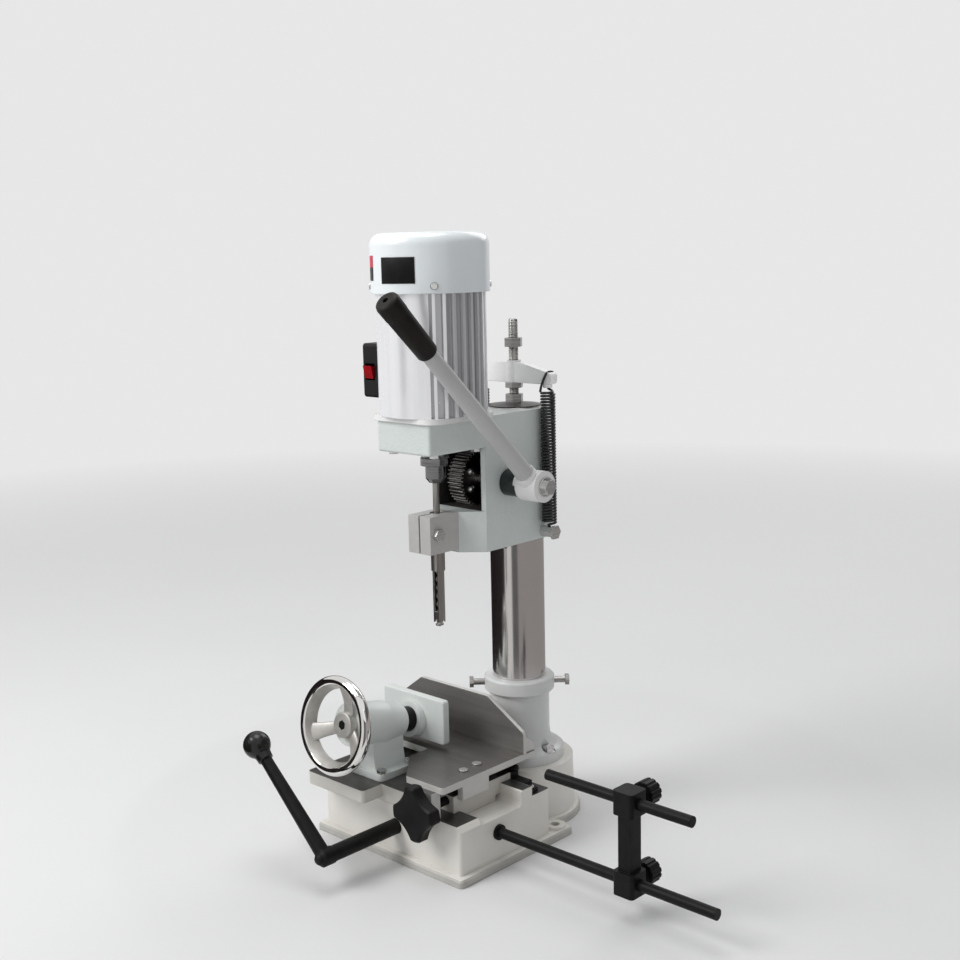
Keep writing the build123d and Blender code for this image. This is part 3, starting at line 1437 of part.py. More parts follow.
save(vise_bracket, "vise_bracket")

with BuildPart() as vise_bracket_bolts:
    for x in (-BRACKET_BOLT_X, BRACKET_BOLT_X):
        for y in BRACKET_BOLT_Y:
            round_bar(level(SADDLE_TOP - 9, VISE_X + x, y), 3, 18)
            hex_bar(level(BRACKET_TOP, VISE_X + x, y), 10, 4.5)
save(vise_bracket_bolts, "vise_bracket_bolts")

with BuildPart() as vise_screw:
    round_bar(on_vise(30), VISE_SCREW_R, 58)
    round_bar(on_vise(88), VISE_NECK_R, 24)
save(vise_screw, "vise_screw")

# Handwheel: rounded rim and three flat spokes that widen towards it
with BuildPart() as handwheel:
    rim_plane = on_vise(WHEEL_REACH)
    rim_middle = WHEEL_R - RIM_W / 2
    rim_points = []
    for corner_x, corner_y, first in ((1, 1, 0), (-1, 1, 90), (-1, -1, 180), (1, -1, 270)):
        for k in range(4):
            turn = math.radians(first + 30 * k)
            across = rim_middle + corner_x * (RIM_W / 2 - RIM_CORNER) + RIM_CORNER * math.cos(turn)
            along = corner_y * (RIM_T / 2 - RIM_CORNER) + RIM_CORNER * math.sin(turn)
            rim_points.append((across, along))
    turned(rim_plane, rim_points)
    round_bar(on_vise(HUB_REACH), WHEEL_HUB_R, HUB_T)
    for angle in (90, 210, 330):
        turn = math.radians(angle)
        hub_plane = on_vise(HUB_REACH + HUB_T / 2 - 0.5)
        outward = hub_plane.x_dir * math.cos(turn) + hub_plane.y_dir * math.sin(turn)
        root = hub_plane.origin + outward * 12
        rim_foot = rim_plane.origin + outward * rim_middle
        way = (rim_foot - root).normalized()
        across = hub_plane.z_dir.cross(outward)
        spoke_plane = Plane(root, x_dir=way, z_dir=way.cross(across))
        spoke_length = (rim_foot - root).length
        outline_slab(
            spoke_plane.offset(-2.5),
            [(0, -8), (spoke_length * 0.6, -9.5), (spoke_length, -15),
             (spoke_length, 15), (spoke_length * 0.6, 9.5), (0, 8)],
            5,
        )
    round_bar(on_vise(HUB_REACH), VISE_NECK_R, HUB_BORE, Mode.SUBTRACT)
    hex_bar(on_vise(HUB_REACH + HUB_BORE), HEX_ACROSS, 8, Mode.SUBTRACT)
save(handwheel, "handwheel")

with BuildPart() as vise_ram:
    round_bar(on_vise(0), RAM_R, 70)
    round_bar(on_vise(12), VISE_SCREW_R + 2 * RUN, 60, Mode.SUBTRACT)
save(vise_ram, "vise_ram")

with BuildPart() as vise_jaw:
    slab(
        front(VISE_Y + 12.5, VISE_X),
        (-JAW_HALF, JAW_BOTTOM),
        (JAW_HALF, JAW_TOP),
        9,
        corner=4,
    )
    chamfer(vise_jaw.faces().sort_by(Axis.Y)[0].edges(), 1)
    round_bar(on_vise(-8), JAW_BOSS_R, 14)
    round_bar(on_vise(0), RAM_R, 10, Mode.SUBTRACT)
save(vise_jaw, "vise_jaw")

# Work stop: fixed rod, sliding bracket, upper rod and two clamp knobs
with BuildPart() as stop_rod_lower:
    round_bar(side(66, STOP_Y, STOP_LOW_Z), STOP_ROD_R, 318)
    round_bar(side(BASE_MID_X + BASE_HALF, STOP_Y, STOP_LOW_Z), 9, 3)
save(stop_rod_lower, "stop_rod_lower")

with BuildPart() as stop_rod_upper:
    round_bar(side(166, STOP_Y, STOP_HIGH_Z), STOP_ROD_R, 188)
save(stop_rod_upper, "stop_rod_upper")

with BuildPart() as stop_bracket:
    for z in (STOP_LOW_Z, STOP_HIGH_Z):
        slab(
            level(z - STOP_BLOCK, STOP_X, STOP_Y),
            (-STOP_BLOCK, -STOP_BLOCK),
            (STOP_BLOCK, STOP_BLOCK),
            2 * STOP_BLOCK,
            corner=4,
        )
    slab(
        level(STOP_LOW_Z, STOP_X, STOP_Y), (-8, -9), (8, 9), STOP_HIGH_Z - STOP_LOW_Z
    )
    for z in (STOP_LOW_Z, STOP_HIGH_Z):
        round_bar(side(STOP_X - 20, STOP_Y, z), STOP_ROD_R + RUN, 40, Mode.SUBTRACT)
        round_bar(front(STOP_Y + 20, STOP_X, z), STOP_CLAMP_R + RUN, 20, Mode.SUBTRACT)
save(stop_bracket, "stop_bracket")

for name, z in (("stop_knob_lower", STOP_LOW_Z), ("stop_knob_upper", STOP_HIGH_Z)):
    with BuildPart() as stop_knob:
        round_bar(front(STOP_Y + 30, STOP_X, z), STOP_CLAMP_R, 30 - STOP_ROD_R - 0.2)
        with BuildSketch(front(STOP_Y + 38, STOP_X, z)) as grip:
            Circle(13.5)
            with PolarLocations(14.3, 12):
                Circle(1.8, mode=Mode.SUBTRACT)
        extrude(grip.sketch, amount=16)
        round_bar(front(STOP_Y + 22, STOP_X, z), 8, 6)
    save(stop_knob, name)
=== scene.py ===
"""Looks of a bench mortiser: finishes, finer pieces, studio and camera."""

import bpy
import json
import math
from mathutils import Matrix, Vector


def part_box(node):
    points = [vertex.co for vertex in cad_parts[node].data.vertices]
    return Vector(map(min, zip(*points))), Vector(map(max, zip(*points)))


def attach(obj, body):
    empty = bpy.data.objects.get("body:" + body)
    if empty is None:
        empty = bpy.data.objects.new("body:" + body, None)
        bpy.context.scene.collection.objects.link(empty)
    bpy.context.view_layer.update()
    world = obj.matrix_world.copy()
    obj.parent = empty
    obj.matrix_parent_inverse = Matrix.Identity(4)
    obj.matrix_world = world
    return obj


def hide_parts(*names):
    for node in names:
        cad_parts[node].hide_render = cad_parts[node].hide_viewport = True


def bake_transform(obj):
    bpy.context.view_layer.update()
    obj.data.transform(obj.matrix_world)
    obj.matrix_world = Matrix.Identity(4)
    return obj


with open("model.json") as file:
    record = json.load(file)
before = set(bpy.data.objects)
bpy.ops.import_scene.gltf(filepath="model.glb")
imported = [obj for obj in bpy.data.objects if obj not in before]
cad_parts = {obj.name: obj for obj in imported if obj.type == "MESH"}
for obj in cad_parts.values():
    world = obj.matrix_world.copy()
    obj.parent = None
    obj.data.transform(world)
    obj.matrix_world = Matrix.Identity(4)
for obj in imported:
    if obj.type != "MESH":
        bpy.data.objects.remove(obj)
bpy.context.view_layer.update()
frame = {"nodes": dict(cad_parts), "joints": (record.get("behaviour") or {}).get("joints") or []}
nodes = frame["nodes"]
joints = {joint["name"]: joint for joint in frame["joints"]}

MM = 0.001
MERGE_DISTANCE = 1e-6

# Return springs and their hooks, in millimetres like all sizes of the finer pieces
SPRING_TURNS = 44
COIL_R = 7.9
WIRE_R = 1.5
SPRING_LEG = 5.0
# Rise of the wire in the three steps that draw a coil's end in to its axis
DRAW_IN = (1.2, 1.4, 1.4)
BAR_HALF_T = 6.0
# The hook starts this far beside and below the spring's upper end
HOOK_START = 5.0
# Way of the hook: slantwise up the crossbar's front, over its top and down behind it
HOOK_STEPS = (
    (0.6, 0.0, 5.0), (4.0, 0.0, 9.0), (3.4, 0.2, 6.6), (0.8, 2.2, 2.4),
    (0.2, 5.0, 0.8), (0.0, 5.0, -0.8), (-0.4, 2.2, -3.0), (-0.6, 0.0, -5.0),
)

# Stud, with the share of the pitch that one flank of its thread takes
THREAD_PITCH = 1.75
THREAD_DEPTH = 0.75
FLANK_OF_PITCH = 0.45
THREAD_START = 2.0
THREAD_MARGIN = 5.0
THREAD_OVERLAP = 0.05

# Auger, with the shares to which its cutter's point and flanks are drawn in
AUGER_LEAD = 21.0
AUGER_BAR_R = 3.8
AUGER_FLATNESS = 0.42
AUGER_SHANK_R = 3.9
AUGER_SHANK_DEEP = 12.0
AUGER_TIP = 4.0
CUTTER_T = 2.0
CUTTER_INSET = 3.4
POINT_SHARE = 0.1
FLANK_SHARE = 0.75

# Handwheel: back and front of its inner wall in from the outside, heights from the middle of the rim
RIM_HALF_W = 6.0
RIM_HALF_T = 7.0
BAND_BACK = 15.4
BAND_FRONT = 10.6
BAND_DEPTH = 14.5
BAND_Z = -1.75
BAND_T = 4.0
WHEEL_DISH = 17.0
SPOKE_ANGLES = (82.0, 202.0, 322.0)
SPOKE_SECTION = (2.0, 17.0, 6.0)
SPOKE_START = 9.0
# Shares of a spoke's length and climb in each step, and its change of width and thickness there
SPOKE_STEPS = (
    (0.22, 0.06, 0.98, 0.9), (0.26, 0.26, 1.06, 0.9), (0.26, 0.36, 1.24, 1.0), (0.26, 0.32, 1.34, 1.25),
)
HUB_R = 15.0
HUB_T = 13.0
HUB_Z = -16.5
SOCKET_R = 5.8
SOCKET_T = 14.0
SOCKET_Z = -14.0

# Crank ball, lever grip, labels, pins and screw
BALL_R = 15.8
BALL_REACH = 151.6
CRANK_ANGLE = 138.2
# Share of the ball's radius at which its neck starts, drop of each ring and its change of width
NECK_START = 0.76
NECK_STEPS = ((2.5, 0.93), (6.0, 0.95), (0.6, 0.9))
LEVER_ANGLE = 135.2
GRIP_REACH = 226.0
GRIP_START_R = 8.6
# Rise of each ring of the grip and its radius
GRIP_STEPS = (
    (1.2, 10.4), (2.6, 11.6), (55.0, 12.7), (0.6, 12.2), (1.2, 12.2),
    (0.6, 13.1), (16.0, 13.4), (3.0, 12.4), (1.8, 9.8),
)
GRIP_HOLE_INSET = 6.6
GRIP_HOLE_DEPTH = 9.0
LABEL_T = 0.5
LABEL_GAP = 0.05
PIN_R = 4.8
PIN_REACH = 21.0
PIN_ANGLES = (150.0, 210.0)
SCREW_R = 3.6
SCREW_HEAD_T = 2.4
SCREW_INSET = 4.5
SCREW_SINK = 4.8
SLOT_W = 1.1
SLOT_T = 1.6


# Shader nodes


def feed(tree, socket, value):
    """Links another node's socket to an input, or sets a plain value there."""
    if isinstance(value, bpy.types.NodeSocket):
        tree.links.new(value, socket)
    else:
        socket.default_value = value


def object_place(tree):
    """The piece's own coordinates."""
    return tree.nodes.new("ShaderNodeTexCoord").outputs["Object"]


def noise_node(tree, vector, scale, detail, roughness=0.5):
    """A noise texture on given coordinates."""
    noise = tree.nodes.new("ShaderNodeTexNoise")
    settings = {"Vector": vector, "Scale": scale, "Detail": detail, "Roughness": roughness}
    for label, value in settings.items():
        feed(tree, noise.inputs[label], value)
    return noise.outputs["Fac"]


def range_node(tree, value, low, high, out_low=0.0, out_high=1.0):
    """Maps a range of a value onto another, clamped."""
    node = tree.nodes.new("ShaderNodeMapRange")
    ends = {"From Min": low, "From Max": high, "To Min": out_low, "To Max": out_high}
    feed(tree, node.inputs["Value"], value)
    for label, end in ends.items():
        feed(tree, node.inputs[label], end)
    return node.outputs["Result"]


def math_node(tree, operation, first, second):
    """A sum, product or other step on two sockets or numbers."""
    node = tree.nodes.new("ShaderNodeMath")
    node.operation = operation
    feed(tree, node.inputs[0], first)
    feed(tree, node.inputs[1], second)
    return node.outputs["Value"]


def vector_node(tree, operation, first, second=(0.0, 0.0, 0.0)):
    """A step on two vectors, which gives a vector, or a number for a length or a dot product."""
    node = tree.nodes.new("ShaderNodeVectorMath")
    node.operation = operation
    feed(tree, node.inputs[0], first)
    feed(tree, node.inputs[1], second)
    return node.outputs["Value" if operation in ("LENGTH", "DOT_PRODUCT") else "Vector"]


def mix_colours(tree, factor, first, second):
    """Mixes two colours, each a tuple or a socket, by a factor socket."""
    node = tree.nodes.new("ShaderNodeMix")
    node.data_type = "RGBA"
    tree.links.new(factor, node.inputs["Factor"])
    for label, colour in (("A", first), ("B", second)):
        target = [s for s in node.inputs if s.name == label and s.type == "RGBA"][0]
        feed(tree, target, (*colour, 1.0) if isinstance(colour, tuple) else colour)
    return [s for s in node.outputs if s.type == "RGBA"][0]


def mix_shaders(tree, factor, first, second, output):
    """Mixes two shaders by a factor socket into the tree's output."""
    blend = tree.nodes.new("ShaderNodeMixShader")
    tree.links.new(factor, blend.inputs["Fac"])
    tree.links.new(first, blend.inputs[1])
    tree.links.new(second, blend.inputs[2])
    tree.links.new(blend.outputs["Shader"], tree.nodes[output].inputs["Surface"])


# Shared shader groups

NUMBER = "NodeSocketFloat"
VECTOR = "NodeSocketVector"


def new_group(name, inputs, outputs):
    """An empty shader group with named sockets."""
    group = bpy.data.node_groups.new(name, "ShaderNodeTree")
    for label, kind, value in inputs:
        socket = group.interface.new_socket(label, in_out="INPUT", socket_type=kind)
        socket.default_value = value
    for label, kind in outputs:
        group.interface.new_socket(label, in_out="OUTPUT", socket_type=kind)
    return group, group.nodes.new("NodeGroupInput"), group.nodes.new("NodeGroupOutput")


def make_cast_skin():
    """Painted sand casting: pebbled height, broad tone changes and small chips."""
    group, given, out = new_group(
        "cast_skin",
        [("Pebble", NUMBER, 260.0), ("Lumps", NUMBER, 40.0)],
        [("Height", NUMBER), ("Tone", NUMBER), ("Chips", NUMBER)],
    )
    place = object_place(group)
    fine = noise_node(group, place, given.outputs["Pebble"], 3.0, 0.55)
    broad = noise_node(group, place, given.outputs["Lumps"], 2.0)
    height = math_node(group, "ADD", math_node(group, "MULTIPLY", broad, 1.6), fine)
    group.links.new(height, out.inputs["Height"])
    group.links.new(noise_node(group, place, 9.0, 4.0), out.inputs["Tone"])
    speck = range_node(group, noise_node(group, place, 170.0, 4.0, 0.7), 0.67, 0.71)
    where = range_node(group, noise_node(group, place, 14.0, 3.0), 0.54, 0.68)
    group.links.new(math_node(group, "MULTIPLY", speck, where), out.inputs["Chips"])
    return group


def make_tool_lines():
    """Tool marks on turned or ground metal: noise stretched along one direction."""
    group, given, out = new_group(
        "tool_lines",
        [("Stretch", VECTOR, (1.0, 1.0, 1.0)), ("Fineness", NUMBER, 60.0)],
        [("Lines", NUMBER), ("Smudge", NUMBER)],
    )
    place = object_place(group)
    scaled = vector_node(group, "MULTIPLY", place, given.outputs["Stretch"])
    lines = noise_node(group, scaled, given.outputs["Fineness"], 5.0, 0.6)
    group.links.new(lines, out.inputs["Lines"])
    group.links.new(noise_node(group, place, 22.0, 5.0, 0.6), out.inputs["Smudge"])
    return group


def make_moulded_skin():
    """Moulded plastic or rubber: a fine even grain with a few handling marks."""
    group, given, out = new_group(
        "moulded_skin",
        [("Grain", NUMBER, 900.0)],
        [("Height", NUMBER), ("Rub", NUMBER)],
    )
    place = object_place(group)
    group.links.new(noise_node(group, place, given.outputs["Grain"], 2.0), out.inputs["Height"])
    group.links.new(noise_node(group, place, 30.0, 5.0, 0.65), out.inputs["Rub"])
    return group


def make_soft_edge():
    """Rounds sharp edges for the light, and masks them where paint wears and metal shines."""
    group, given, out = new_group(
        "soft_edge",
        [("Width", NUMBER, 0.0015)],
        [("Edge", NUMBER), ("Normal", VECTOR)],
    )
    bevel = group.nodes.new("ShaderNodeBevel")
    bevel.samples = 6
    group.links.new(given.outputs["Width"], bevel.inputs["Radius"])
    group.links.new(bevel.outputs["Normal"], out.inputs["Normal"])
    flat = group.nodes.new("ShaderNodeNewGeometry").outputs["Normal"]
    turned = vector_node(group, "DOT_PRODUCT", bevel.outputs["Normal"], flat)
    edge = range_node(group, turned, 0.995, 0.86)
    broken = range_node(group, noise_node(group, object_place(group), 90.0, 5.0, 0.7), 0.38, 0.62)
    group.links.new(math_node(group, "MULTIPLY", edge, broken), out.inputs["Edge"])
    return group


def make_inside_box():
    """A mask that is one inside a box given by its corners."""
    group, given, out = new_group(
        "inside_box",
        [("Low", VECTOR, (0.0, 0.0, 0.0)), ("High", VECTOR, (1.0, 1.0, 1.0))],
        [("Inside", NUMBER)],
    )
    parts = []
    for source in (object_place(group), given.outputs["Low"], given.outputs["High"]):
        split = group.nodes.new("ShaderNodeSeparateXYZ")
        group.links.new(source, split.inputs["Vector"])
        parts.append(split)
    inside = 1.0
    for axis in "XYZ":
        above = math_node(group, "GREATER_THAN", parts[0].outputs[axis], parts[1].outputs[axis])
        below = math_node(group, "LESS_THAN", parts[0].outputs[axis], parts[2].outputs[axis])
        inside = math_node(group, "MULTIPLY", inside, math_node(group, "MULTIPLY", above, below))
    group.links.new(inside, out.inputs["Inside"])
    return group


def make_facing():
    """A mask for faces that look one way, from the piece's own normals."""
    group, given, out = new_group(
        "facing",
        [("Way", VECTOR, (0.0, 0.0, 1.0))],
        [("Mask", NUMBER)],
    )
    normal = group.nodes.new("ShaderNodeTexCoord").outputs["Normal"]
    turned = vector_node(group, "DOT_PRODUCT", normal, given.outputs["Way"])
    group.links.new(range_node(group, turned, 0.92, 0.97), out.inputs["Mask"])
    return group


def make_near_axis():
    """A mask that is one near an upright axis and falls to nothing at a given distance."""
    group, given, out = new_group(
        "near_axis",
        [("Axis", VECTOR, (0.0, 0.0, 0.0)), ("Full", NUMBER, 0.05), ("Fade", NUMBER, 0.06)],
        [("Mask", NUMBER)],
    )
    offset = vector_node(group, "SUBTRACT", object_place(group), given.outputs["Axis"])
    level = vector_node(group, "MULTIPLY", offset, (1.0, 1.0, 0.0))
    reach = vector_node(group, "LENGTH", level)
    mask = range_node(group, reach, given.outputs["Full"], given.outputs["Fade"], 1.0, 0.0)
    group.links.new(mask, out.inputs["Mask"])
    return group


CAST_SKIN = make_cast_skin()
TOOL_LINES = make_tool_lines()
MOULDED_SKIN = make_moulded_skin()
SOFT_EDGE = make_soft_edge()
INSIDE_BOX = make_inside_box()
FACING = make_facing()
NEAR_AXIS = make_near_axis()


# Kinds of finish: width of the worn edges and depth of the relief in metres, and colours they share

PAINT_EDGE = 0.0014
IRON_EDGE = 0.0016
PLASTIC_EDGE = 0.0012
PLATE_EDGE = 0.0007
CAST_RELIEF = 0.0006
TOOL_RELIEF = 0.0003
PLASTIC_RELIEF = 0.0002
PLATE_RELIEF = 0.0001
BARE_METAL = (0.20, 0.195, 0.19)
CHIPPED_IRON = (0.2, 0.19, 0.18)
WORN_IRON = (0.40, 0.40, 0.39)
OILY_IRON_AND_SHADE = (0.035, 0.032, 0.03)
FOOT_DARK_TONE = (0.40, 0.39, 0.36)
PLATE_RUB = (0.06, 0.06, 0.06)
PLATE_RIM = (0.5, 0.5, 0.5)
FINISHES = {}


def new_material(name, metallic=0.0, coat=0.0, specular=0.5):
    """A material that is kept among the finishes; gives its tree and its Principled shader."""
    material = bpy.data.materials.new(name)
    material.use_nodes = True
    shader = material.node_tree.nodes["Principled BSDF"]
    shader.inputs["Metallic"].default_value = metallic
    shader.inputs["Coat Weight"].default_value = coat
    shader.inputs["Coat Roughness"].default_value = 0.15
    shader.inputs["Specular IOR Level"].default_value = specular
    FINISHES[name] = material
    return material.node_tree, shader


def place_group(tree, group, **values):
    """Puts a shared group into a material with its own values."""
    node = tree.nodes.new("ShaderNodeGroup")
    node.node_tree = group
    for label, value in values.items():
        node.inputs[label].default_value = value
    return node


def add_colour(tree, shader, colour, drift, roughness):
    """Feeds a colour and a roughness that drifts between two values into the shader."""
    tree.links.new(colour, shader.inputs["Base Color"])
    tree.links.new(range_node(tree, drift, 0.3, 0.7, *roughness), shader.inputs["Roughness"])


def add_bump(tree, shader, height, strength, distance, rounded):
    """Feeds a height into the shader's normal, over rounded edges."""
    bump = tree.nodes.new("ShaderNodeBump")
    bump.inputs["Strength"].default_value = strength
    bump.inputs["Distance"].default_value = distance
    tree.links.new(height, bump.inputs["Height"])
    tree.links.new(rounded, bump.inputs["Normal"])
    tree.links.new(bump.outputs["Normal"], shader.inputs["Normal"])


def painted_casting(name, colour, shade, roughness=(0.34, 0.5), bump=0.35, wear=0.4, shade_box=None):
    """Enamel over a casting: colour drifts to a shade, chips and edges show darker metal."""
    tree, shader = new_material(name, coat=0.12)
    skin = place_group(tree, CAST_SKIN)
    edge = place_group(tree, SOFT_EDGE, Width=PAINT_EDGE)
    tone = range_node(tree, skin.outputs["Tone"], 0.35, 0.7)
    paint = mix_colours(tree, tone, colour, shade)
    worn = range_node(tree, edge.outputs["Edge"], 0.0, 1.0, 0.0, wear)
    paint = mix_colours(tree, worn, paint, BARE_METAL)
    chips = range_node(tree, skin.outputs["Chips"], 0.0, 1.0, 0.0, 0.45)
    paint = mix_colours(tree, chips, paint, BARE_METAL)
    # Painted shade: a given box is darkened like unpainted iron lying in shade, such as the inside of a
    # recess
    if shade_box:
        inside = place_group(tree, INSIDE_BOX, Low=shade_box[0], High=shade_box[1])
        paint = mix_colours(tree, inside.outputs["Inside"], paint, OILY_IRON_AND_SHADE)
    add_colour(tree, shader, paint, skin.outputs["Tone"], roughness)
    add_bump(tree, shader, skin.outputs["Height"], bump, CAST_RELIEF, edge.outputs["Normal"])


def worked_metal(name, colour, dark, roughness, stretch, fineness=60.0, bump=0.12, metallic=1.0,
                 edge_tone=None, specular=0.5, groove_shade=None, edge_width=0.0008):
    """Ground, turned or drawn metal with tool marks and smudges, and painted shade in grooves round an
    axis.
    """
    tree, shader = new_material(name, metallic=metallic, specular=specular)
    marks = place_group(tree, TOOL_LINES, Stretch=stretch, Fineness=fineness)
    edge = place_group(tree, SOFT_EDGE, Width=edge_width)
    tone = range_node(tree, marks.outputs["Lines"], 0.35, 0.68)
    face = mix_colours(tree, tone, dark, colour)
    if edge_tone:
        face = mix_colours(tree, edge.outputs["Edge"], face, edge_tone)
    # Painted shade: faces near a given axis, deep in the grooves, take a darker colour
    if groove_shade:
        axis, full, fade, gap_shade_colour = groove_shade
        deep = place_group(tree, NEAR_AXIS, Axis=axis, Full=full, Fade=fade)
        face = mix_colours(tree, deep.outputs["Mask"], face, gap_shade_colour)
    add_colour(tree, shader, face, marks.outputs["Smudge"], roughness)
    add_bump(tree, shader, marks.outputs["Lines"], bump, TOOL_RELIEF, edge.outputs["Normal"])


def moulded_plastic(name, colour, rubbed, roughness, grain=900.0, bump=0.25, specular=0.3):
    """Moulded plastic or rubber with a fine grain and rubbed patches."""
    tree, shader = new_material(name, specular=specular)
    skin = place_group(tree, MOULDED_SKIN, Grain=grain)
    edge = place_group(tree, SOFT_EDGE, Width=PLASTIC_EDGE)
    rub = range_node(tree, skin.outputs["Rub"], 0.45, 0.75)
    face = mix_colours(tree, rub, colour, rubbed)
    add_colour(tree, shader, face, skin.outputs["Rub"], roughness)
    add_bump(tree, shader, skin.outputs["Height"], bump, PLASTIC_RELIEF, edge.outputs["Normal"])


def ground_casting(name, way, paint, paint_shade, ground, ground_dark, bands=(), foot=0.0):
    """A painted casting, ground bare where it looks one way, in boxes if given; its foot may be darker in
    patches.
    """
    tree, shader = new_material(name, coat=0.08)
    skin = place_group(tree, CAST_SKIN)
    marks = place_group(tree, TOOL_LINES, Stretch=ALONG_X, Fineness=70.0)
    edge = place_group(tree, SOFT_EDGE, Width=IRON_EDGE)
    bare = place_group(tree, FACING, Way=way).outputs["Mask"]
    if bands:
        within = 0.0
        for low, high in bands:
            band = place_group(tree, INSIDE_BOX, Low=low, High=high).outputs["Inside"]
            within = math_node(tree, "MAXIMUM", within, band)
        bare = math_node(tree, "MULTIPLY", bare, within)
    tone = range_node(tree, skin.outputs["Tone"], 0.35, 0.7)
    enamel = mix_colours(tree, tone, paint, paint_shade)
    chips = range_node(tree, skin.outputs["Chips"], 0.0, 1.0, 0.0, 0.4)
    enamel = mix_colours(tree, chips, enamel, CHIPPED_IRON)
    # Darker towards the bottom: patches below the foot's height take a darker tone
    if foot:
        lowest = place_group(tree, INSIDE_BOX, Low=(-1.0, -1.0, -1.0), High=(1.0, 1.0, foot))
        patches = range_node(tree, marks.outputs["Smudge"], 0.2, 0.6, 0.4, 0.9)
        darker_foot = math_node(tree, "MULTIPLY", lowest.outputs["Inside"], patches)
        enamel = mix_colours(tree, darker_foot, enamel, FOOT_DARK_TONE)
    lines = range_node(tree, marks.outputs["Lines"], 0.3, 0.7)
    iron = mix_colours(tree, lines, ground_dark, ground)
    iron = mix_colours(tree, edge.outputs["Edge"], iron, WORN_IRON)
    face = mix_colours(tree, bare, enamel, iron)
    add_colour(tree, shader, face, marks.outputs["Smudge"], (0.3, 0.46))
    tree.links.new(math_node(tree, "MULTIPLY", bare, 0.7), shader.inputs["Metallic"])
    add_bump(tree, shader, skin.outputs["Height"], 0.4, CAST_RELIEF, edge.outputs["Normal"])


def bare_plate(name, upper, lower, split_z):
    """A bare plate in two plain colours that meet at a height."""
    tree, shader = new_material(name, specular=0.1)
    skin = place_group(tree, MOULDED_SKIN, Grain=500.0)
    edge = place_group(tree, SOFT_EDGE, Width=PLATE_EDGE)
    split = tree.nodes.new("ShaderNodeSeparateXYZ")
    tree.links.new(object_place(tree), split.inputs["Vector"])
    top = math_node(tree, "GREATER_THAN", split.outputs["Z"], split_z)
    face = mix_colours(tree, top, lower, upper)
    rub = range_node(tree, skin.outputs["Rub"], 0.5, 0.8, 0.0, 0.2)
    face = mix_colours(tree, rub, face, PLATE_RUB)
    face = mix_colours(tree, edge.outputs["Edge"], face, PLATE_RIM)
    add_colour(tree, shader, face, skin.outputs["Rub"], (0.28, 0.42))
    add_bump(tree, shader, skin.outputs["Height"], 0.1, PLATE_RELIEF, edge.outputs["Normal"])


# Finishes of this machine

UP = (0.0, 0.0, 1.0)
FRONT = (0.0, -1.0, 0.0)
ALONG_X = (0.06, 1.0, 1.0)
ALONG_Y = (1.0, 0.06, 1.0)
ALONG_Z = (1.0, 1.0, 0.04)
ROUND_Z = (0.3, 0.3, 9.0)
EVEN = (1.0, 1.0, 1.0)

# Inside of the head's throat, unpainted iron darkened further as painted shade, measured from the head
# and the feed shaft
THROAT_HALF_W = 0.0345
THROAT_AHEAD = 0.029
THROAT_BACK = 0.03
THROAT_LOW = 0.0468
THROAT_HIGH = 0.1202
head_low, head_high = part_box("head_casting")
throat_x = (head_low.x + head_high.x) / 2
throat_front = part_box("feed_shaft")[0].y - THROAT_AHEAD
THROAT_SHADE = (
    (throat_x - THROAT_HALF_W, throat_front, head_low.z + THROAT_LOW),
    (throat_x + THROAT_HALF_W, head_high.y - THROAT_BACK, head_low.z + THROAT_HIGH),
)

# Painted shade in the gaps between the fins of the motor's barrel: axis, where the shade is full and
# where it ends, its colour
frame_low, frame_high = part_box("motor_frame")
motor_axis = ((frame_low.x + frame_high.x) / 2, (frame_low.y + frame_high.y) / 2, 0.0)
barrel_r = (frame_high.x - frame_low.x) / 2
FIN_GAP_SHADE = (motor_axis, barrel_r - 4.6 * MM, barrel_r - 2.6 * MM, (0.48, 0.48, 0.495))

# Ground ways of the base, and the darker patches at its foot
LAND_Z = 0.065
RAIL_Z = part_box("base_casting")[1].z
FOOT_Z = 0.0085
BAND_HALF = 0.0006
# The front land's band is bare ground iron, darkened further as painted shade under the table; the rail's
# band is bare iron
GROUND_AND_SHADE_BANDS = [
    ((-1.0, -1.0, z - BAND_HALF), (1.0, 1.0, z + BAND_HALF)) for z in (LAND_Z, RAIL_Z)
]

# Height on the cap's side at which the red plate turns black
cap_low, cap_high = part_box("motor_cap")
SPLIT_Z = (cap_low.z + cap_high.z) / 2 - 0.004

ground_casting("cream_enamel", UP, (0.77, 0.745, 0.70), (0.69, 0.665, 0.62),
               (0.10, 0.10, 0.10), (0.05, 0.05, 0.05), GROUND_AND_SHADE_BANDS, FOOT_Z)
painted_casting("head_enamel", (0.62, 0.66, 0.645), (0.55, 0.59, 0.575), bump=1.0, shade_box=THROAT_SHADE)
painted_casting("vise_enamel", (0.68, 0.71, 0.69), (0.60, 0.63, 0.61))
painted_casting("socket_enamel", (0.66, 0.67, 0.66), (0.58, 0.59, 0.58), bump=0.25)
# Painted light: a lightened copy of the white enamel, standing for the highlights on the crossbar
painted_casting("crossbar_lit_enamel", (0.90, 0.90, 0.89), (0.84, 0.84, 0.83), wear=0.25)
painted_casting("white_enamel", (0.78, 0.78, 0.77), (0.70, 0.70, 0.69))
painted_casting("cap_enamel", (0.76, 0.795, 0.81), (0.71, 0.75, 0.765), (0.16, 0.26), bump=0.05,
                wear=0.15)
painted_casting("lever_enamel", (0.47, 0.47, 0.465), (0.42, 0.42, 0.415), bump=0.1, wear=0.1)
worked_metal("barrel_metal", (0.87, 0.87, 0.88), (0.78, 0.78, 0.80), (0.2, 0.28), ALONG_Z, 70.0, 0.02,
             metallic=0.55, groove_shade=FIN_GAP_SHADE, edge_width=0.0003)
worked_metal("column_metal", (0.66, 0.64, 0.63), (0.63, 0.61, 0.60), (0.15, 0.19), ROUND_Z, 90.0, 0.01)
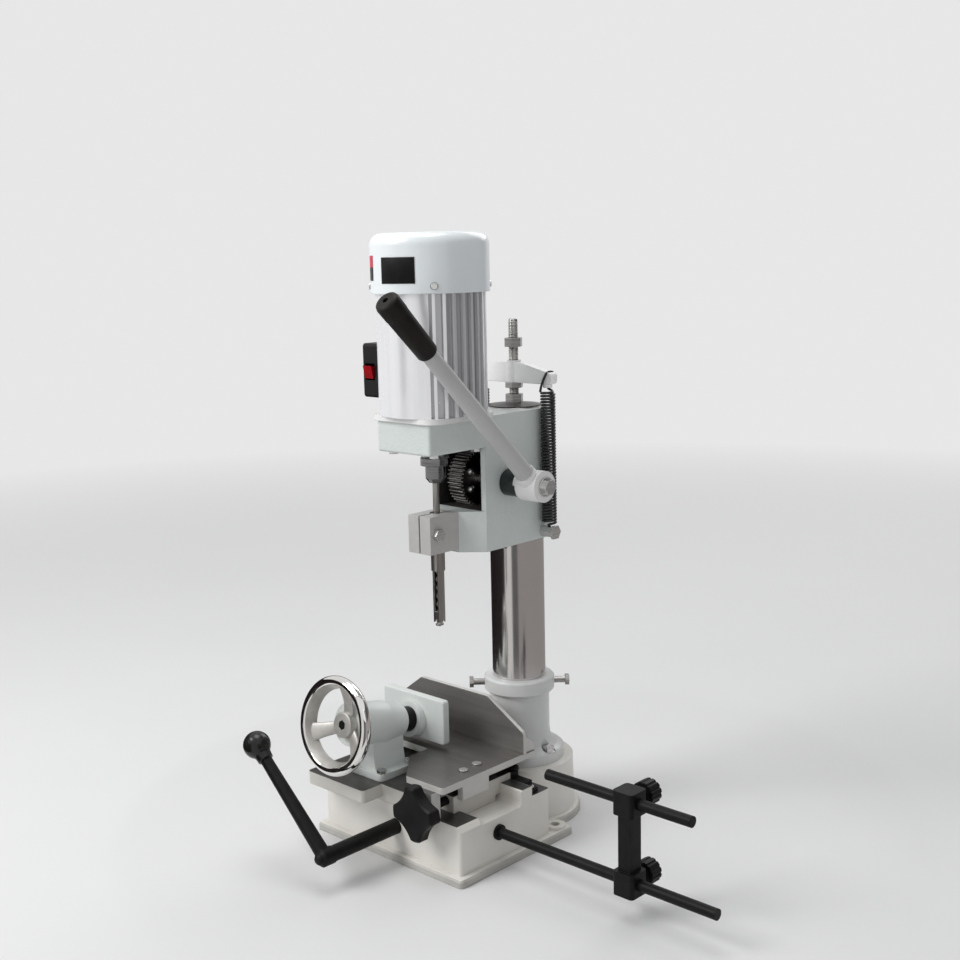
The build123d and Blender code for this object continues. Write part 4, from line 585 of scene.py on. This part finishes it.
worked_metal("bright_metal", (0.72, 0.72, 0.71), (0.54, 0.54, 0.53), (0.2, 0.36), ROUND_Z)
worked_metal("holder_metal", (0.52, 0.51, 0.50), (0.46, 0.45, 0.44), (0.34, 0.46), ALONG_Y, 30.0, 0.05,
             metallic=0.2)
worked_metal("chuck_metal", (0.25, 0.245, 0.245), (0.16, 0.156, 0.156), (0.1, 0.2), ROUND_Z, 60.0, 0.04)
worked_metal("gear_metal", (0.16, 0.15, 0.145), (0.06, 0.055, 0.05), (0.28, 0.5), ALONG_X,
             edge_tone=(0.8, 0.79, 0.77))
worked_metal("tool_metal", (0.38, 0.365, 0.345), (0.25, 0.24, 0.225), (0.26, 0.42), ALONG_Z,
             edge_tone=(0.5, 0.49, 0.47))
worked_metal("bronze", (0.60, 0.42, 0.20), (0.42, 0.28, 0.12), (0.25, 0.4), ALONG_X)
worked_metal("spring_metal", (0.062, 0.062, 0.065), (0.028, 0.028, 0.03), (0.22, 0.36), EVEN, 200.0,
             metallic=0.5, specular=0.4)
worked_metal("dog_metal", (0.030, 0.042, 0.040), (0.015, 0.022, 0.021), (0.3, 0.45), EVEN, 120.0,
             metallic=0.3, edge_tone=(0.10, 0.12, 0.11), specular=0.4)
worked_metal("black_metal", (0.009, 0.0085, 0.008), (0.005, 0.005, 0.005), (0.38, 0.54), EVEN, 120.0,
             metallic=0.0, edge_tone=(0.025, 0.025, 0.025), specular=0.14)
worked_metal("cap_metal", (0.085, 0.08, 0.075), (0.045, 0.042, 0.04), (0.3, 0.46), EVEN, 90.0,
             metallic=0.4, edge_tone=(0.22, 0.21, 0.2))
worked_metal("stud_metal", (0.48, 0.47, 0.45), (0.30, 0.29, 0.28), (0.24, 0.4), ROUND_Z)
moulded_plastic("black_plastic", (0.006, 0.006, 0.006), (0.010, 0.010, 0.010), (0.36, 0.5), specular=0.15)
moulded_plastic("ball_plastic", (0.008, 0.008, 0.0075), (0.012, 0.012, 0.011), (0.16, 0.28), bump=0.1,
                specular=0.4)
moulded_plastic("black_rubber", (0.010, 0.0085, 0.0075), (0.016, 0.014, 0.0125), (0.42, 0.56), 600.0, 0.3,
                specular=0.16)
moulded_plastic("red_plastic", (0.26, 0.002, 0.006), (0.19, 0.002, 0.004), (0.3, 0.42), bump=0.1,
                specular=0.05)
worked_metal("chrome_plate", (0.86, 0.85, 0.83), (0.80, 0.79, 0.77), (0.03, 0.08), EVEN, 40.0, 0.015)
worked_metal("wheel_satin", (0.56, 0.545, 0.515), (0.46, 0.445, 0.42), (0.4, 0.54), EVEN, 70.0, 0.06,
             metallic=0.7)
ground_casting("table_iron", UP, (0.66, 0.645, 0.615), (0.48, 0.47, 0.45),
               (0.175, 0.167, 0.16), (0.13, 0.123, 0.118))
ground_casting("fence_iron", FRONT, (0.62, 0.61, 0.58), (0.50, 0.49, 0.47),
               (0.29, 0.28, 0.268), (0.21, 0.2, 0.191))
ground_casting("saddle_iron", UP, (0.60, 0.58, 0.535), (0.53, 0.51, 0.47),
               (0.12, 0.115, 0.11), (0.07, 0.068, 0.065))
bare_plate("dark_plate", (0.006, 0.006, 0.006), (0.006, 0.006, 0.006), 0.0)
bare_plate("red_plate", (0.55, 0.02, 0.06), (0.012, 0.012, 0.012), SPLIT_Z)

NODE_FINISHES = {
    "cream_enamel": ["base_casting"],
    "head_enamel": ["head_casting"],
    "vise_enamel": ["vise_bracket", "vise_jaw"],
    "socket_enamel": ["column_socket"],
    "crossbar_lit_enamel": ["spring_crossbar"],
    "white_enamel": ["lever_hub", "motor_flange"],
    "cap_enamel": ["motor_cap"],
    "lever_enamel": ["lever_arm"],
    "barrel_metal": ["motor_frame"],
    "column_metal": ["column"],
    "cap_metal": ["column_cap"],
    "stud_metal": ["spring_stud", "stud_nuts", "column_set_screws"],
    "bright_metal": ["socket_bolts", "chisel_clamp_bolt", "motor_flange_bolts", "cap_screws", "hub_bolt",
                     "table_pins", "vise_bracket_bolts", "feed_shaft", "spindle_shaft",
                     "spring_anchor_bolts"],
    "holder_metal": ["chisel_holder"],
    "chuck_metal": ["drill_chuck"],
    "gear_metal": ["column_rack", "feed_pinion", "saddle_rack", "crank_pinion"],
    "tool_metal": ["hollow_chisel", "auger_bit"],
    "bronze": ["shaft_bushes"],
    "spring_metal": ["return_spring_right", "return_spring_left"],
    "dog_metal": ["dog_collar"],
    "black_metal": ["saddle_guide_bar", "vise_screw", "vise_ram", "table_feed_screw", "stop_bracket",
                    "stop_rod_lower", "stop_rod_upper", "crank_shaft", "crank_arm"],
    "ball_plastic": ["crank_ball"],
    "black_plastic": ["star_knob", "stop_knob_lower", "stop_knob_upper", "switch_box", "cooling_fan"],
    "black_rubber": ["lever_grip"],
    "red_plastic": ["switch_rocker"],
    "chrome_plate": ["handwheel"],
    "table_iron": ["work_table"],
    "fence_iron": ["fence"],
    "saddle_iron": ["saddle"],
}

for finish, names in NODE_FINISHES.items():
    for name in names:
        for slot in nodes[name].material_slots:
            slot.material = FINISHES[finish]


# Modelling steps shared by the finer pieces


def close_edit():
    """Leaves edit mode and deselects everything."""
    if bpy.context.object and bpy.context.object.mode == "EDIT":
        bpy.ops.object.mode_set(mode="OBJECT")
    bpy.ops.object.select_all(action="DESELECT")


def choose(piece):
    """Selects one piece alone and makes it active."""
    close_edit()
    piece.select_set(True)
    bpy.context.view_layer.objects.active = piece


def added(name):
    """Names the piece that was just added."""
    piece = bpy.context.active_object
    piece.name = name
    piece.data.name = name
    return piece


def add_cylinder(name, sides, radius, depth, place, ends="NGON"):
    """A new upright cylinder, in metres."""
    close_edit()
    bpy.ops.mesh.primitive_cylinder_add(
        vertices=sides, radius=radius, depth=depth, end_fill_type=ends, location=place)
    return added(name)


def add_point(name, place):
    """A new piece of one point, open in edit mode, from which a line is drawn."""
    close_edit()
    bpy.ops.mesh.primitive_plane_add(size=MM, location=place)
    piece = added(name)
    bpy.ops.object.mode_set(mode="EDIT")
    bpy.ops.mesh.merge(type="CENTER")
    return piece


def pick_faces(piece, test):
    """Opens the piece with the faces selected whose centre and normal pass a test."""
    bpy.ops.object.mode_set(mode="EDIT")
    bpy.ops.mesh.select_mode(type="FACE")
    bpy.ops.mesh.select_all(action="DESELECT")
    bpy.ops.object.mode_set(mode="OBJECT")
    for face in piece.data.polygons:
        face.select = test(face.center, face.normal)
    bpy.ops.object.mode_set(mode="EDIT")


def keep_sector(piece, facing, half_width):
    """Keeps only the side of an open cylinder that lies near one direction, in degrees."""

    def outside(centre, normal):
        angle = math.degrees(math.atan2(centre.y, centre.x))
        return abs((angle - facing + 180) % 360 - 180) > half_width

    pick_faces(piece, outside)
    bpy.ops.mesh.delete(type="FACE")
    close_edit()


def draw_on(step):
    """Extrudes what is selected by a step in millimetres."""
    bpy.ops.mesh.extrude_region_move(TRANSFORM_OT_translate={"value": Vector(step) * MM})


def extrude_on(step, size=(1.0, 1.0, 1.0)):
    """Extrudes what is selected by a step in millimetres and scales its end."""
    draw_on(step)
    bpy.ops.transform.resize(value=size)


def apply_modifier(piece, modifier):
    """Applies a modifier of a piece."""
    bpy.context.view_layer.objects.active = piece
    bpy.ops.object.modifier_apply(modifier=modifier.name)


def turn_profile(piece, steps, rise=0.0, turns=1):
    """Sweeps the piece's profile round its own upright axis, rising as it goes."""
    sweep = piece.modifiers.new("sweep", "SCREW")
    sweep.axis = "Z"
    sweep.angle = 2 * math.pi
    sweep.screw_offset = rise
    sweep.iterations = turns
    sweep.steps = steps
    sweep.render_steps = steps
    sweep.use_merge_vertices = rise == 0.0
    sweep.merge_threshold = MERGE_DISTANCE
    apply_modifier(piece, sweep)


def soften(piece, width, segments=2, angle=40):
    """Bevels the sharp edges by a width in millimetres."""
    bevel = piece.modifiers.new("soften", "BEVEL")
    bevel.width = width * MM
    bevel.segments = segments
    bevel.angle_limit = math.radians(angle)
    apply_modifier(piece, bevel)


def smooth_over(piece, levels):
    """Rounds the whole piece by subdivision."""
    rounding = piece.modifiers.new("rounding", "SUBSURF")
    rounding.levels = levels
    rounding.render_levels = levels
    apply_modifier(piece, rounding)


def thicken(piece, thickness):
    """Gives a sheet a thickness in millimetres, outwards."""
    wall = piece.modifiers.new("thickness", "SOLIDIFY")
    wall.thickness = thickness * MM
    wall.offset = 1.0
    apply_modifier(piece, wall)


def cut_away(piece, tool):
    """Cuts one piece's shape out of another and removes it."""
    cut = piece.modifiers.new("cut", "BOOLEAN")
    cut.operation = "DIFFERENCE"
    cut.object = tool
    apply_modifier(piece, cut)
    bpy.data.objects.remove(tool)


def round_wire(piece, order, steps, facets):
    """Makes a drawn line a smooth round wire."""
    choose(piece)
    bpy.ops.object.convert(target="CURVE")
    curve = bpy.context.active_object.data
    curve.bevel_depth = WIRE_R * MM
    curve.bevel_resolution = facets
    curve.use_fill_caps = True
    line = curve.splines[0]
    line.type = "NURBS"
    line.order_u = order
    line.use_endpoint_u = True
    line.resolution_u = steps
    bpy.ops.object.convert(target="MESH")
    return bpy.context.active_object


def join_pieces(pieces):
    """Joins pieces into the first one, with their places put into the mesh."""
    close_edit()
    for piece in pieces:
        piece.select_set(True)
    bpy.context.view_layer.objects.active = pieces[0]
    bpy.ops.object.transform_apply(location=True, rotation=True, scale=True)
    bpy.ops.object.join()
    return pieces[0]


def finish_piece(piece, finish, body, smooth=35, merge=True):
    """Cleans the mesh, puts its place into it, shades it and gives it its finish and body."""
    choose(piece)
    bpy.ops.object.transform_apply(location=True, rotation=True, scale=True)
    bpy.ops.object.mode_set(mode="EDIT")
    bpy.ops.mesh.select_all(action="SELECT")
    if merge:
        bpy.ops.mesh.remove_doubles(threshold=MERGE_DISTANCE)
    bpy.ops.mesh.normals_make_consistent(inside=False)
    bpy.ops.object.mode_set(mode="OBJECT")
    bpy.ops.object.shade_smooth_by_angle(angle=math.radians(smooth))
    piece.data.materials.clear()
    piece.data.materials.append(FINISHES[finish])
    if body:
        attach(piece, body)
    close_edit()


# Finer pieces


def draw_wire_end(wire, top):
    """Draws one end of a coil in to its axis and on along it."""
    bpy.ops.object.mode_set(mode="EDIT")
    bpy.ops.mesh.select_mode(type="VERT")
    bpy.ops.mesh.select_all(action="DESELECT")
    bpy.ops.object.mode_set(mode="OBJECT")
    ends = sorted(wire.data.vertices, key=lambda vertex: vertex.co.z)
    ends[-1 if top else 0].select = True
    bpy.ops.object.mode_set(mode="EDIT")
    half = COIL_R / 2
    way = 1 if top else -1
    first, second, third = DRAW_IN
    draw_on((-half, way * half, way * first))
    draw_on((-half, 0.0, way * second))
    draw_on((0.0, -way * half, way * third))
    draw_on((0.0, 0.0, way * (SPRING_LEG - sum(DRAW_IN))))
    bpy.ops.object.mode_set(mode="OBJECT")


def make_spring(node):
    """Close-wound wire between the anchor bolt and the crossbar, its ends drawn in to the axis."""
    low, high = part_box(node)
    middle = (low + high) / 2
    coil_low = low.z + SPRING_LEG * MM
    coil_length = high.z - low.z - 2 * SPRING_LEG * MM
    spring = add_point("close_wound_" + node, (middle.x, middle.y, coil_low))
    bpy.ops.transform.translate(value=(COIL_R * MM, 0.0, 0.0))
    bpy.ops.object.mode_set(mode="OBJECT")
    turn_profile(spring, 16, rise=coil_length / SPRING_TURNS, turns=SPRING_TURNS)
    draw_wire_end(spring, top=True)
    draw_wire_end(spring, top=False)
    spring = round_wire(spring, order=4, steps=2, facets=2)
    finish_piece(spring, "spring_metal", None, 60, merge=False)
    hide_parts(node)
    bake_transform(spring)


def make_spring_hook(node, side):
    """End of the spring's wire, bent slantwise up the front of the crossbar and over its top."""
    low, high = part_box(node)
    middle = (low + high) / 2
    bar_low, bar_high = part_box("spring_crossbar")
    front = (bar_low.y + bar_high.y) / 2 - BAR_HALF_T * MM - WIRE_R * MM
    start = (middle.x - side * HOOK_START * MM, front, high.z - HOOK_START * MM)
    hook = add_point("hook_of_" + node, start)
    for across, back, up in HOOK_STEPS:
        draw_on((side * across, back, up))
    hook = round_wire(hook, order=3, steps=4, facets=3)
    finish_piece(hook, "spring_metal", "base", 60, merge=False)


def make_stud():
    """Threaded stud: a bevelled core with one helical thread round it."""
    low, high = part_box("spring_stud")
    middle = (low + high) / 2
    root = (high.x - low.x) / 2 - THREAD_DEPTH * MM
    core = add_cylinder("threaded_stud", 40, root + THREAD_OVERLAP * MM, high.z - low.z, middle)
    soften(core, 1.4)
    turns = int((high.z - low.z - THREAD_MARGIN * MM) / (THREAD_PITCH * MM))
    thread = add_point("stud_thread", (middle.x, middle.y, low.z + THREAD_START * MM))
    bpy.ops.transform.translate(value=(root, 0.0, 0.0))
    draw_on((THREAD_DEPTH, 0.0, THREAD_PITCH * FLANK_OF_PITCH))
    draw_on((-THREAD_DEPTH, 0.0, THREAD_PITCH * FLANK_OF_PITCH))
    bpy.ops.object.mode_set(mode="OBJECT")
    turn_profile(thread, 24, rise=THREAD_PITCH * MM, turns=turns)
    stud = join_pieces([core, thread])
    finish_piece(stud, "stud_metal", "base", 50)
    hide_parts("spring_stud")


def make_auger():
    """Twisted bit: a flat bar wound round its axis, a plain shank above and a spurred cutting end."""
    low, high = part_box("auger_bit")
    middle = (low + high) / 2
    cutter_r = (high.x - low.x) / 2
    bar_low = low.z + AUGER_TIP * MM
    shank_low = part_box("hollow_chisel")[1].z - AUGER_SHANK_DEEP * MM
    turns = round((shank_low - bar_low) / (AUGER_LEAD * MM))
    close_edit()
    bpy.ops.mesh.primitive_circle_add(
        vertices=20, radius=AUGER_BAR_R * MM, location=(middle.x, middle.y, bar_low))
    bar = added("twisted_auger")
    bpy.ops.object.mode_set(mode="EDIT")
    bpy.ops.transform.resize(value=(1.0, AUGER_FLATNESS, 1.0))
    bpy.ops.object.mode_set(mode="OBJECT")
    turn_profile(bar, 28, rise=(shank_low - bar_low) / turns, turns=turns)
    bpy.ops.object.mode_set(mode="EDIT")
    bpy.ops.mesh.select_all(action="SELECT")
    bpy.ops.mesh.fill_holes(sides=24)
    shank_place = (middle.x, middle.y, (high.z + shank_low) / 2)
    shank = add_cylinder("auger_shank", 40, AUGER_SHANK_R * MM, high.z - shank_low, shank_place)
    soften(shank, 1.2)
    cutter_place = (middle.x, middle.y, low.z + (AUGER_TIP - CUTTER_T / 2) * MM)
    cutter = add_cylinder("auger_cutter", 24, cutter_r, CUTTER_T * MM, cutter_place)
    pick_faces(cutter, lambda centre, normal: normal.z < -0.9)
    bpy.ops.mesh.inset(thickness=CUTTER_INSET * MM)
    extrude_on((0.0, 0.0, -CUTTER_T), (POINT_SHARE, POINT_SHARE, 1.0))
    pick_faces(cutter, lambda centre, normal: abs(normal.x) > 0.95 and abs(normal.z) < 0.1)
    bpy.ops.transform.resize(value=(FLANK_SHARE, 1.0, 1.0), center_override=middle)
    bit = join_pieces([bar, shank, cutter])
    finish_piece(bit, "tool_metal", "spindle", 40)
    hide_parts("auger_bit")


def make_label(name, finish, from_angle, to_angle, low, high):
    """A thin bare plate that follows the side of the motor cap."""
    middle = (cap_low + cap_high) / 2
    radius = (cap_high.x - cap_low.x) / 2
    place = (middle.x, middle.y, cap_low.z + (low + high) / 2 * MM)
    plate = add_cylinder(name, 240, radius + LABEL_GAP * MM, (high - low) * MM, place, "NOTHING")
    keep_sector(plate, (from_angle + to_angle) / 2, (to_angle - from_angle) / 2)
    thicken(plate, LABEL_T)
    soften(plate, 0.15)
    finish_piece(plate, finish, "head", 30)


def make_wheel_rim():
    """Rim: an oval section turned round the wheel's axis."""
    radius = (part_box("handwheel")[1].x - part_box("handwheel")[0].x) / 2
    close_edit()
    bpy.ops.mesh.primitive_circle_add(
        vertices=28, radius=RIM_HALF_W * MM, rotation=(math.pi / 2, 0.0, 0.0))
    rim = added("chromed_handwheel")
    bpy.ops.object.transform_apply(rotation=True)
    bpy.ops.object.mode_set(mode="EDIT")
    bpy.ops.transform.resize(value=(1.0, 1.0, RIM_HALF_T / RIM_HALF_W))
    bpy.ops.transform.translate(value=(radius - RIM_HALF_W * MM, 0.0, 0.0))
    bpy.ops.object.mode_set(mode="OBJECT")
    turn_profile(rim, 120)
    return rim, radius


def make_wheel_band(radius):
    """Inner wall of the rim: a slanting band, widest at the front."""
    close_edit()
    bpy.ops.mesh.primitive_cone_add(
        vertices=120, radius1=radius - BAND_BACK * MM, radius2=radius - BAND_FRONT * MM,
        depth=BAND_DEPTH * MM, end_fill_type="NOTHING", location=(0.0, 0.0, BAND_Z * MM))
    band = added("wheel_band")
    thicken(band, BAND_T)
    soften(band, 0.7)
    return band


def make_wheel_spoke(radius, angle):
    """One flat spoke that widens and climbs from the hub to the rim, turned to its angle."""
    close_edit()
    bpy.ops.mesh.primitive_cube_add(size=MM)
    spoke = added("wheel_spoke")
    bpy.ops.object.mode_set(mode="EDIT")
    bpy.ops.transform.resize(value=SPOKE_SECTION)
    bpy.ops.transform.translate(value=(SPOKE_START * MM, 0.0, -WHEEL_DISH * MM))
    pick_faces(spoke, lambda centre, normal: normal.x > 0.9)
    reach = radius / MM - RIM_HALF_W - SPOKE_START - SPOKE_SECTION[0] / 2
    for share, climb, wider, thicker in SPOKE_STEPS:
        extrude_on((reach * share, 0.0, WHEEL_DISH * climb), (1.0, wider, thicker))
    bpy.ops.object.mode_set(mode="OBJECT")
    smooth_over(spoke, 3)
    spoke.rotation_euler = (0.0, 0.0, math.radians(angle))
    return spoke


def make_wheel_hub():
    """Hub: a bevelled drum with a hexagon socket in its face."""
    hub = add_cylinder("wheel_hub", 64, HUB_R * MM, HUB_T * MM, (0.0, 0.0, HUB_Z * MM))
    soften(hub, 1.6, 3)
    cut_away(hub, add_cylinder("hub_socket", 6, SOCKET_R * MM, SOCKET_T * MM, (0.0, 0.0, SOCKET_Z * MM)))
    return hub


def make_handwheel():
    """Wheel of the vise: a chromed rim, and its inner wall, dished spokes and hub in satin metal."""
    joint = joints["vise_wheel_turn"]
    axis = Vector(joint["axis"])
    rim, radius = make_wheel_rim()
    spokes = [make_wheel_spoke(radius, angle) for angle in SPOKE_ANGLES]
    centre = join_pieces([make_wheel_hub(), make_wheel_band(radius), *spokes])
    centre.name = "wheel_spokes"
    for piece, finish in ((rim, "chrome_plate"), (centre, "wheel_satin")):
        piece.rotation_euler = (math.atan2(-axis.y, axis.z), 0.0, 0.0)
        piece.location = joint["pos_m"]
        finish_piece(piece, finish, "vise_wheel", 40)
    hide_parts("handwheel")


def make_crank_ball():
    """Ball with a short flared neck on the end of the crank arm."""
    turn = math.radians(CRANK_ANGLE)
    way = Vector((math.cos(turn), 0.0, math.sin(turn)))
    close_edit()
    bpy.ops.mesh.primitive_uv_sphere_add(segments=56, ring_count=36, radius=BALL_R * MM)
    ball = added("crank_knob")
    pick_faces(ball, lambda centre, normal: centre.z < -NECK_START * BALL_R * MM)
    bpy.ops.mesh.delete(type="FACE")
    bpy.ops.mesh.select_mode(type="EDGE")
    bpy.ops.mesh.select_non_manifold()
    for drop, narrower in NECK_STEPS:
        extrude_on((0.0, 0.0, -drop), (narrower, narrower, 1.0))
    bpy.ops.mesh.edge_face_add()
    bpy.ops.object.mode_set(mode="OBJECT")
    ball.rotation_euler = (0.0, math.pi / 2 - turn, 0.0)
    ball.location = Vector(joints["crank_turn"]["pos_m"]) + way * BALL_REACH * MM
    finish_piece(ball, "ball_plastic", "crank", 50)
    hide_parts("crank_ball")


def make_grip():
    """Rubber grip: a tapered sleeve with a raised end that has a blind hole in it."""
    turn = math.radians(LEVER_ANGLE)
    way = Vector((0.0, math.cos(turn), math.sin(turn)))
    close_edit()
    bpy.ops.mesh.primitive_circle_add(vertices=72, radius=GRIP_START_R * MM, fill_type="NGON")
    grip = added("rubber_grip")
    bpy.ops.object.mode_set(mode="EDIT")
    before = GRIP_START_R
    for rise, radius in GRIP_STEPS:
        extrude_on((0.0, 0.0, rise), (radius / before, radius / before, 1.0))
        before = radius
    bpy.ops.mesh.inset(thickness=GRIP_HOLE_INSET * MM)
    extrude_on((0.0, 0.0, -GRIP_HOLE_DEPTH))
    bpy.ops.object.mode_set(mode="OBJECT")
    soften(grip, 0.6, 2, 30)
    grip.rotation_euler = (turn - math.pi / 2, 0.0, 0.0)
    grip.location = Vector(joints["lever_turn"]["pos_m"]) + way * GRIP_REACH * MM
    finish_piece(grip, "black_rubber", "lever", 40)
    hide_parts("lever_grip")


def make_guide_screw():
    """A small cheese-head screw with a driver slot, at the guide bar's end."""
    guide_low, guide_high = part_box("saddle_guide_bar")
    guide_y = (guide_low.y + guide_high.y) / 2
    place = Vector((guide_high.x - SCREW_INSET * MM, guide_y, RAIL_Z - SCREW_SINK * MM))
    screw = add_cylinder("guide_end_screw", 32, SCREW_R * MM, SCREW_HEAD_T * MM, place)
    soften(screw, 0.5)
    close_edit()
    bpy.ops.mesh.primitive_cube_add(size=MM, location=place + Vector((0.0, 0.0, SCREW_HEAD_T / 2 * MM)))
    driver = added("driver_slot")
    bpy.ops.transform.resize(value=(3.0 * SCREW_R, SLOT_W, SLOT_T))
    cut_away(screw, driver)
    finish_piece(screw, "bright_metal", "saddle", 40)


def make_pinion_pins():
    """Two polished domed pins that hold the pinion on its shaft's flange."""
    low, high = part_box("feed_pinion")
    middle = (low + high) / 2
    pins = []
    for angle in PIN_ANGLES:
        turn = math.radians(angle)
        way = Vector((0.0, math.cos(turn), math.sin(turn)))
        close_edit()
        bpy.ops.mesh.primitive_uv_sphere_add(segments=32, ring_count=16, radius=PIN_R * MM)
        pin = added("pinion_pins")
        bpy.ops.object.mode_set(mode="EDIT")
        bpy.ops.mesh.bisect(
            plane_co=(0.0, 0.0, 0.0), plane_no=(1.0, 0.0, 0.0), clear_inner=True, use_fill=True)
        bpy.ops.object.mode_set(mode="OBJECT")
        pin.location = Vector((high.x, middle.y, middle.z)) + PIN_REACH * MM * way
        pins.append(pin)
    finish_piece(join_pieces(pins), "bright_metal", "lever", 50)


make_spring("return_spring_right")
make_spring("return_spring_left")
make_spring_hook("return_spring_right", 1)
make_spring_hook("return_spring_left", -1)
make_stud()
make_auger()
make_label("cap_name_plate", "dark_plate", -96.5, -59.2, 11.0, 39.0)
make_label("cap_side_plate", "red_plate", -123.0, -112.0, 14.0, 41.0)
make_pinion_pins()
make_handwheel()
make_crank_ball()
make_grip()
make_guide_screw()


# Studio: pale floor that fades into a pale world, soft lamps, cards for the polished metal

BACKGROUND = (0.80, 0.80, 0.80, 1.0)
WORLD_LIGHT = (0.97, 0.985, 1.0, 1.0)
WORLD_STRENGTH = 0.4
FLOOR_R = 7.0
FLOOR_DROP = 0.0002
FLOOR_NEAR = 0.6
FLOOR_FAR = 3.2
FLOOR_TONES = ((0.66, 0.66, 0.66), (0.70, 0.70, 0.70))
# Place, spot it points at, size in metres and power in watts
LAMPS = {
    "key_lamp": ((-0.95, -1.95, 1.9), (0.0, 0.0, 0.35), 1.3, 46.0),
    "top_lamp": ((-0.2, -0.1, 2.4), (0.0, 0.0, 0.35), 1.2, 17.0),
    "right_lamp": ((2.0, -0.4, 1.3), (0.0, 0.0, 0.35), 1.4, 1.3),
    "back_lamp": ((-0.3, 1.8, 1.7), (0.0, 0.0, 0.4), 1.2, 9.0),
}
CARD_R = 0.5
CARD_LOW = 0.01
CARD_HIGH = 0.32
# Direction and half width in degrees, distance, lower and upper edge, colour and strength
CARDS = {
    "dark_card": (194.2, 64.1, CARD_R, CARD_LOW, CARD_HIGH, (0.016, 0.011, 0.012), 1.0),
    "bright_card": (273.2, 14.4, CARD_R, CARD_LOW, CARD_HIGH, (1.0, 0.99, 0.98), 0.72),
    "grey_card": (300.4, 12.5, CARD_R, CARD_LOW, CARD_HIGH, (0.125, 0.12, 0.12), 1.0),
    "brown_card": (41.5, 88.5, CARD_R, CARD_LOW, CARD_HIGH, (0.33, 0.31, 0.305), 1.0),
    "room_card": (37.0, 52.0, 2.3, 0.0, 2.2, (0.10, 0.098, 0.096), 1.0),
    "gap_card": (254.0, 7.0, 1.6, 0.35, 1.7, (0.22, 0.22, 0.23), 1.0),
}
CAMERA_PLACE = (1.088, -1.149, 0.691)
CAMERA_AIM = (-0.0092, 0.0043, 0.4164)
CAMERA_ROLL = 1.28
CAMERA_LENS = 50.3
CAMERA_SENSOR = 36.0


def glow_node(tree, colour, strength=1.0):
    """A plain glow."""
    glow = tree.nodes.new("ShaderNodeEmission")
    glow.inputs["Color"].default_value = colour
    glow.inputs["Strength"].default_value = strength
    return glow.outputs["Emission"]


def make_floor():
    """A pale floor that keeps the shadow near the machine and fades into the background."""
    close_edit()
    bpy.ops.mesh.primitive_circle_add(
        vertices=96, radius=FLOOR_R, fill_type="NGON", location=(0.0, 0.0, -FLOOR_DROP))
    floor = added("studio_floor")
    tree, shader = new_material("floor_paint")
    shader.inputs["Roughness"].default_value = 0.7
    place = object_place(tree)
    tone = noise_node(tree, place, 3.0, 4.0)
    colour = mix_colours(tree, tone, *FLOOR_TONES)
    tree.links.new(colour, shader.inputs["Base Color"])
    fade = range_node(tree, vector_node(tree, "LENGTH", place), FLOOR_NEAR, FLOOR_FAR)
    mix_shaders(tree, fade, shader.outputs["BSDF"], glow_node(tree, BACKGROUND), "Material Output")
    floor.data.materials.append(FINISHES["floor_paint"])


def make_lamp(name, place, aim, size, power):
    """A square soft lamp pointed at a spot."""
    bpy.ops.object.light_add(type="AREA", location=place)
    lamp = bpy.context.active_object
    lamp.name = name
    lamp.data.size = size
    lamp.data.energy = power
    lamp.rotation_euler = (Vector(aim) - Vector(place)).to_track_quat("-Z", "Y").to_euler()


def make_card(name, facing, half_width, reach, bottom, top, colour, strength):
    """A curved studio card that stands round the machine and that only polished surfaces see."""
    column_low, column_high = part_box("column")
    middle = (column_low + column_high) / 2
    place = (middle.x, middle.y, (top + bottom) / 2)
    card = add_cylinder(name, 360, reach, top - bottom, place, "NOTHING")
    keep_sector(card, facing, half_width)
    tree, shader = new_material(name)
    tree.nodes.remove(shader)
    clear = tree.nodes.new("ShaderNodeBsdfTransparent").outputs["BSDF"]
    back = tree.nodes.new("ShaderNodeNewGeometry").outputs["Backfacing"]
    mix_shaders(tree, back, clear, glow_node(tree, (*colour, 1.0), strength), "Material Output")
    card.data.materials.append(FINISHES[name])
    card.visible_camera = False
    card.visible_diffuse = False
    card.visible_shadow = False


def make_world():
    """A pale world: one level lights the machine, another is seen directly and in metal."""
    world = bpy.data.worlds.new("studio_world")
    bpy.context.scene.world = world
    world.use_nodes = True
    tree = world.node_tree
    light = tree.nodes["Background"]
    light.inputs["Color"].default_value = WORLD_LIGHT
    light.inputs["Strength"].default_value = WORLD_STRENGTH
    shown = tree.nodes.new("ShaderNodeBackground")
    shown.inputs["Color"].default_value = BACKGROUND
    path = tree.nodes.new("ShaderNodeLightPath")
    seen = math_node(tree, "MAXIMUM", path.outputs["Is Camera Ray"], path.outputs["Is Glossy Ray"])
    seen = math_node(tree, "MAXIMUM", seen, path.outputs["Is Transmission Ray"])
    mix_shaders(tree, seen, light.outputs["Background"], shown.outputs["Background"], "World Output")


def make_camera():
    """The photograph's place, direction, tilt and lens."""
    place = Vector(CAMERA_PLACE)
    ahead = (Vector(CAMERA_AIM) - place).normalized()
    right = ahead.cross(Vector(UP)).normalized()
    up = right.cross(ahead)
    roll = math.radians(CAMERA_ROLL)
    tilted_right = right * math.cos(roll) - up * math.sin(roll)
    tilted_up = up * math.cos(roll) + right * math.sin(roll)
    bpy.ops.object.camera_add()
    camera = bpy.context.active_object
    turn = Matrix((tilted_right, tilted_up, -ahead)).transposed().to_4x4()
    camera.matrix_world = Matrix.Translation(place) @ turn
    camera.data.lens = CAMERA_LENS
    camera.data.sensor_width = CAMERA_SENSOR
    bpy.context.scene.camera = camera


make_floor()
for name, setting in LAMPS.items():
    make_lamp(name, *setting)
for name, setting in CARDS.items():
    make_card(name, *setting)
make_world()
make_camera()
bpy.context.scene.view_settings.view_transform = "Standard"
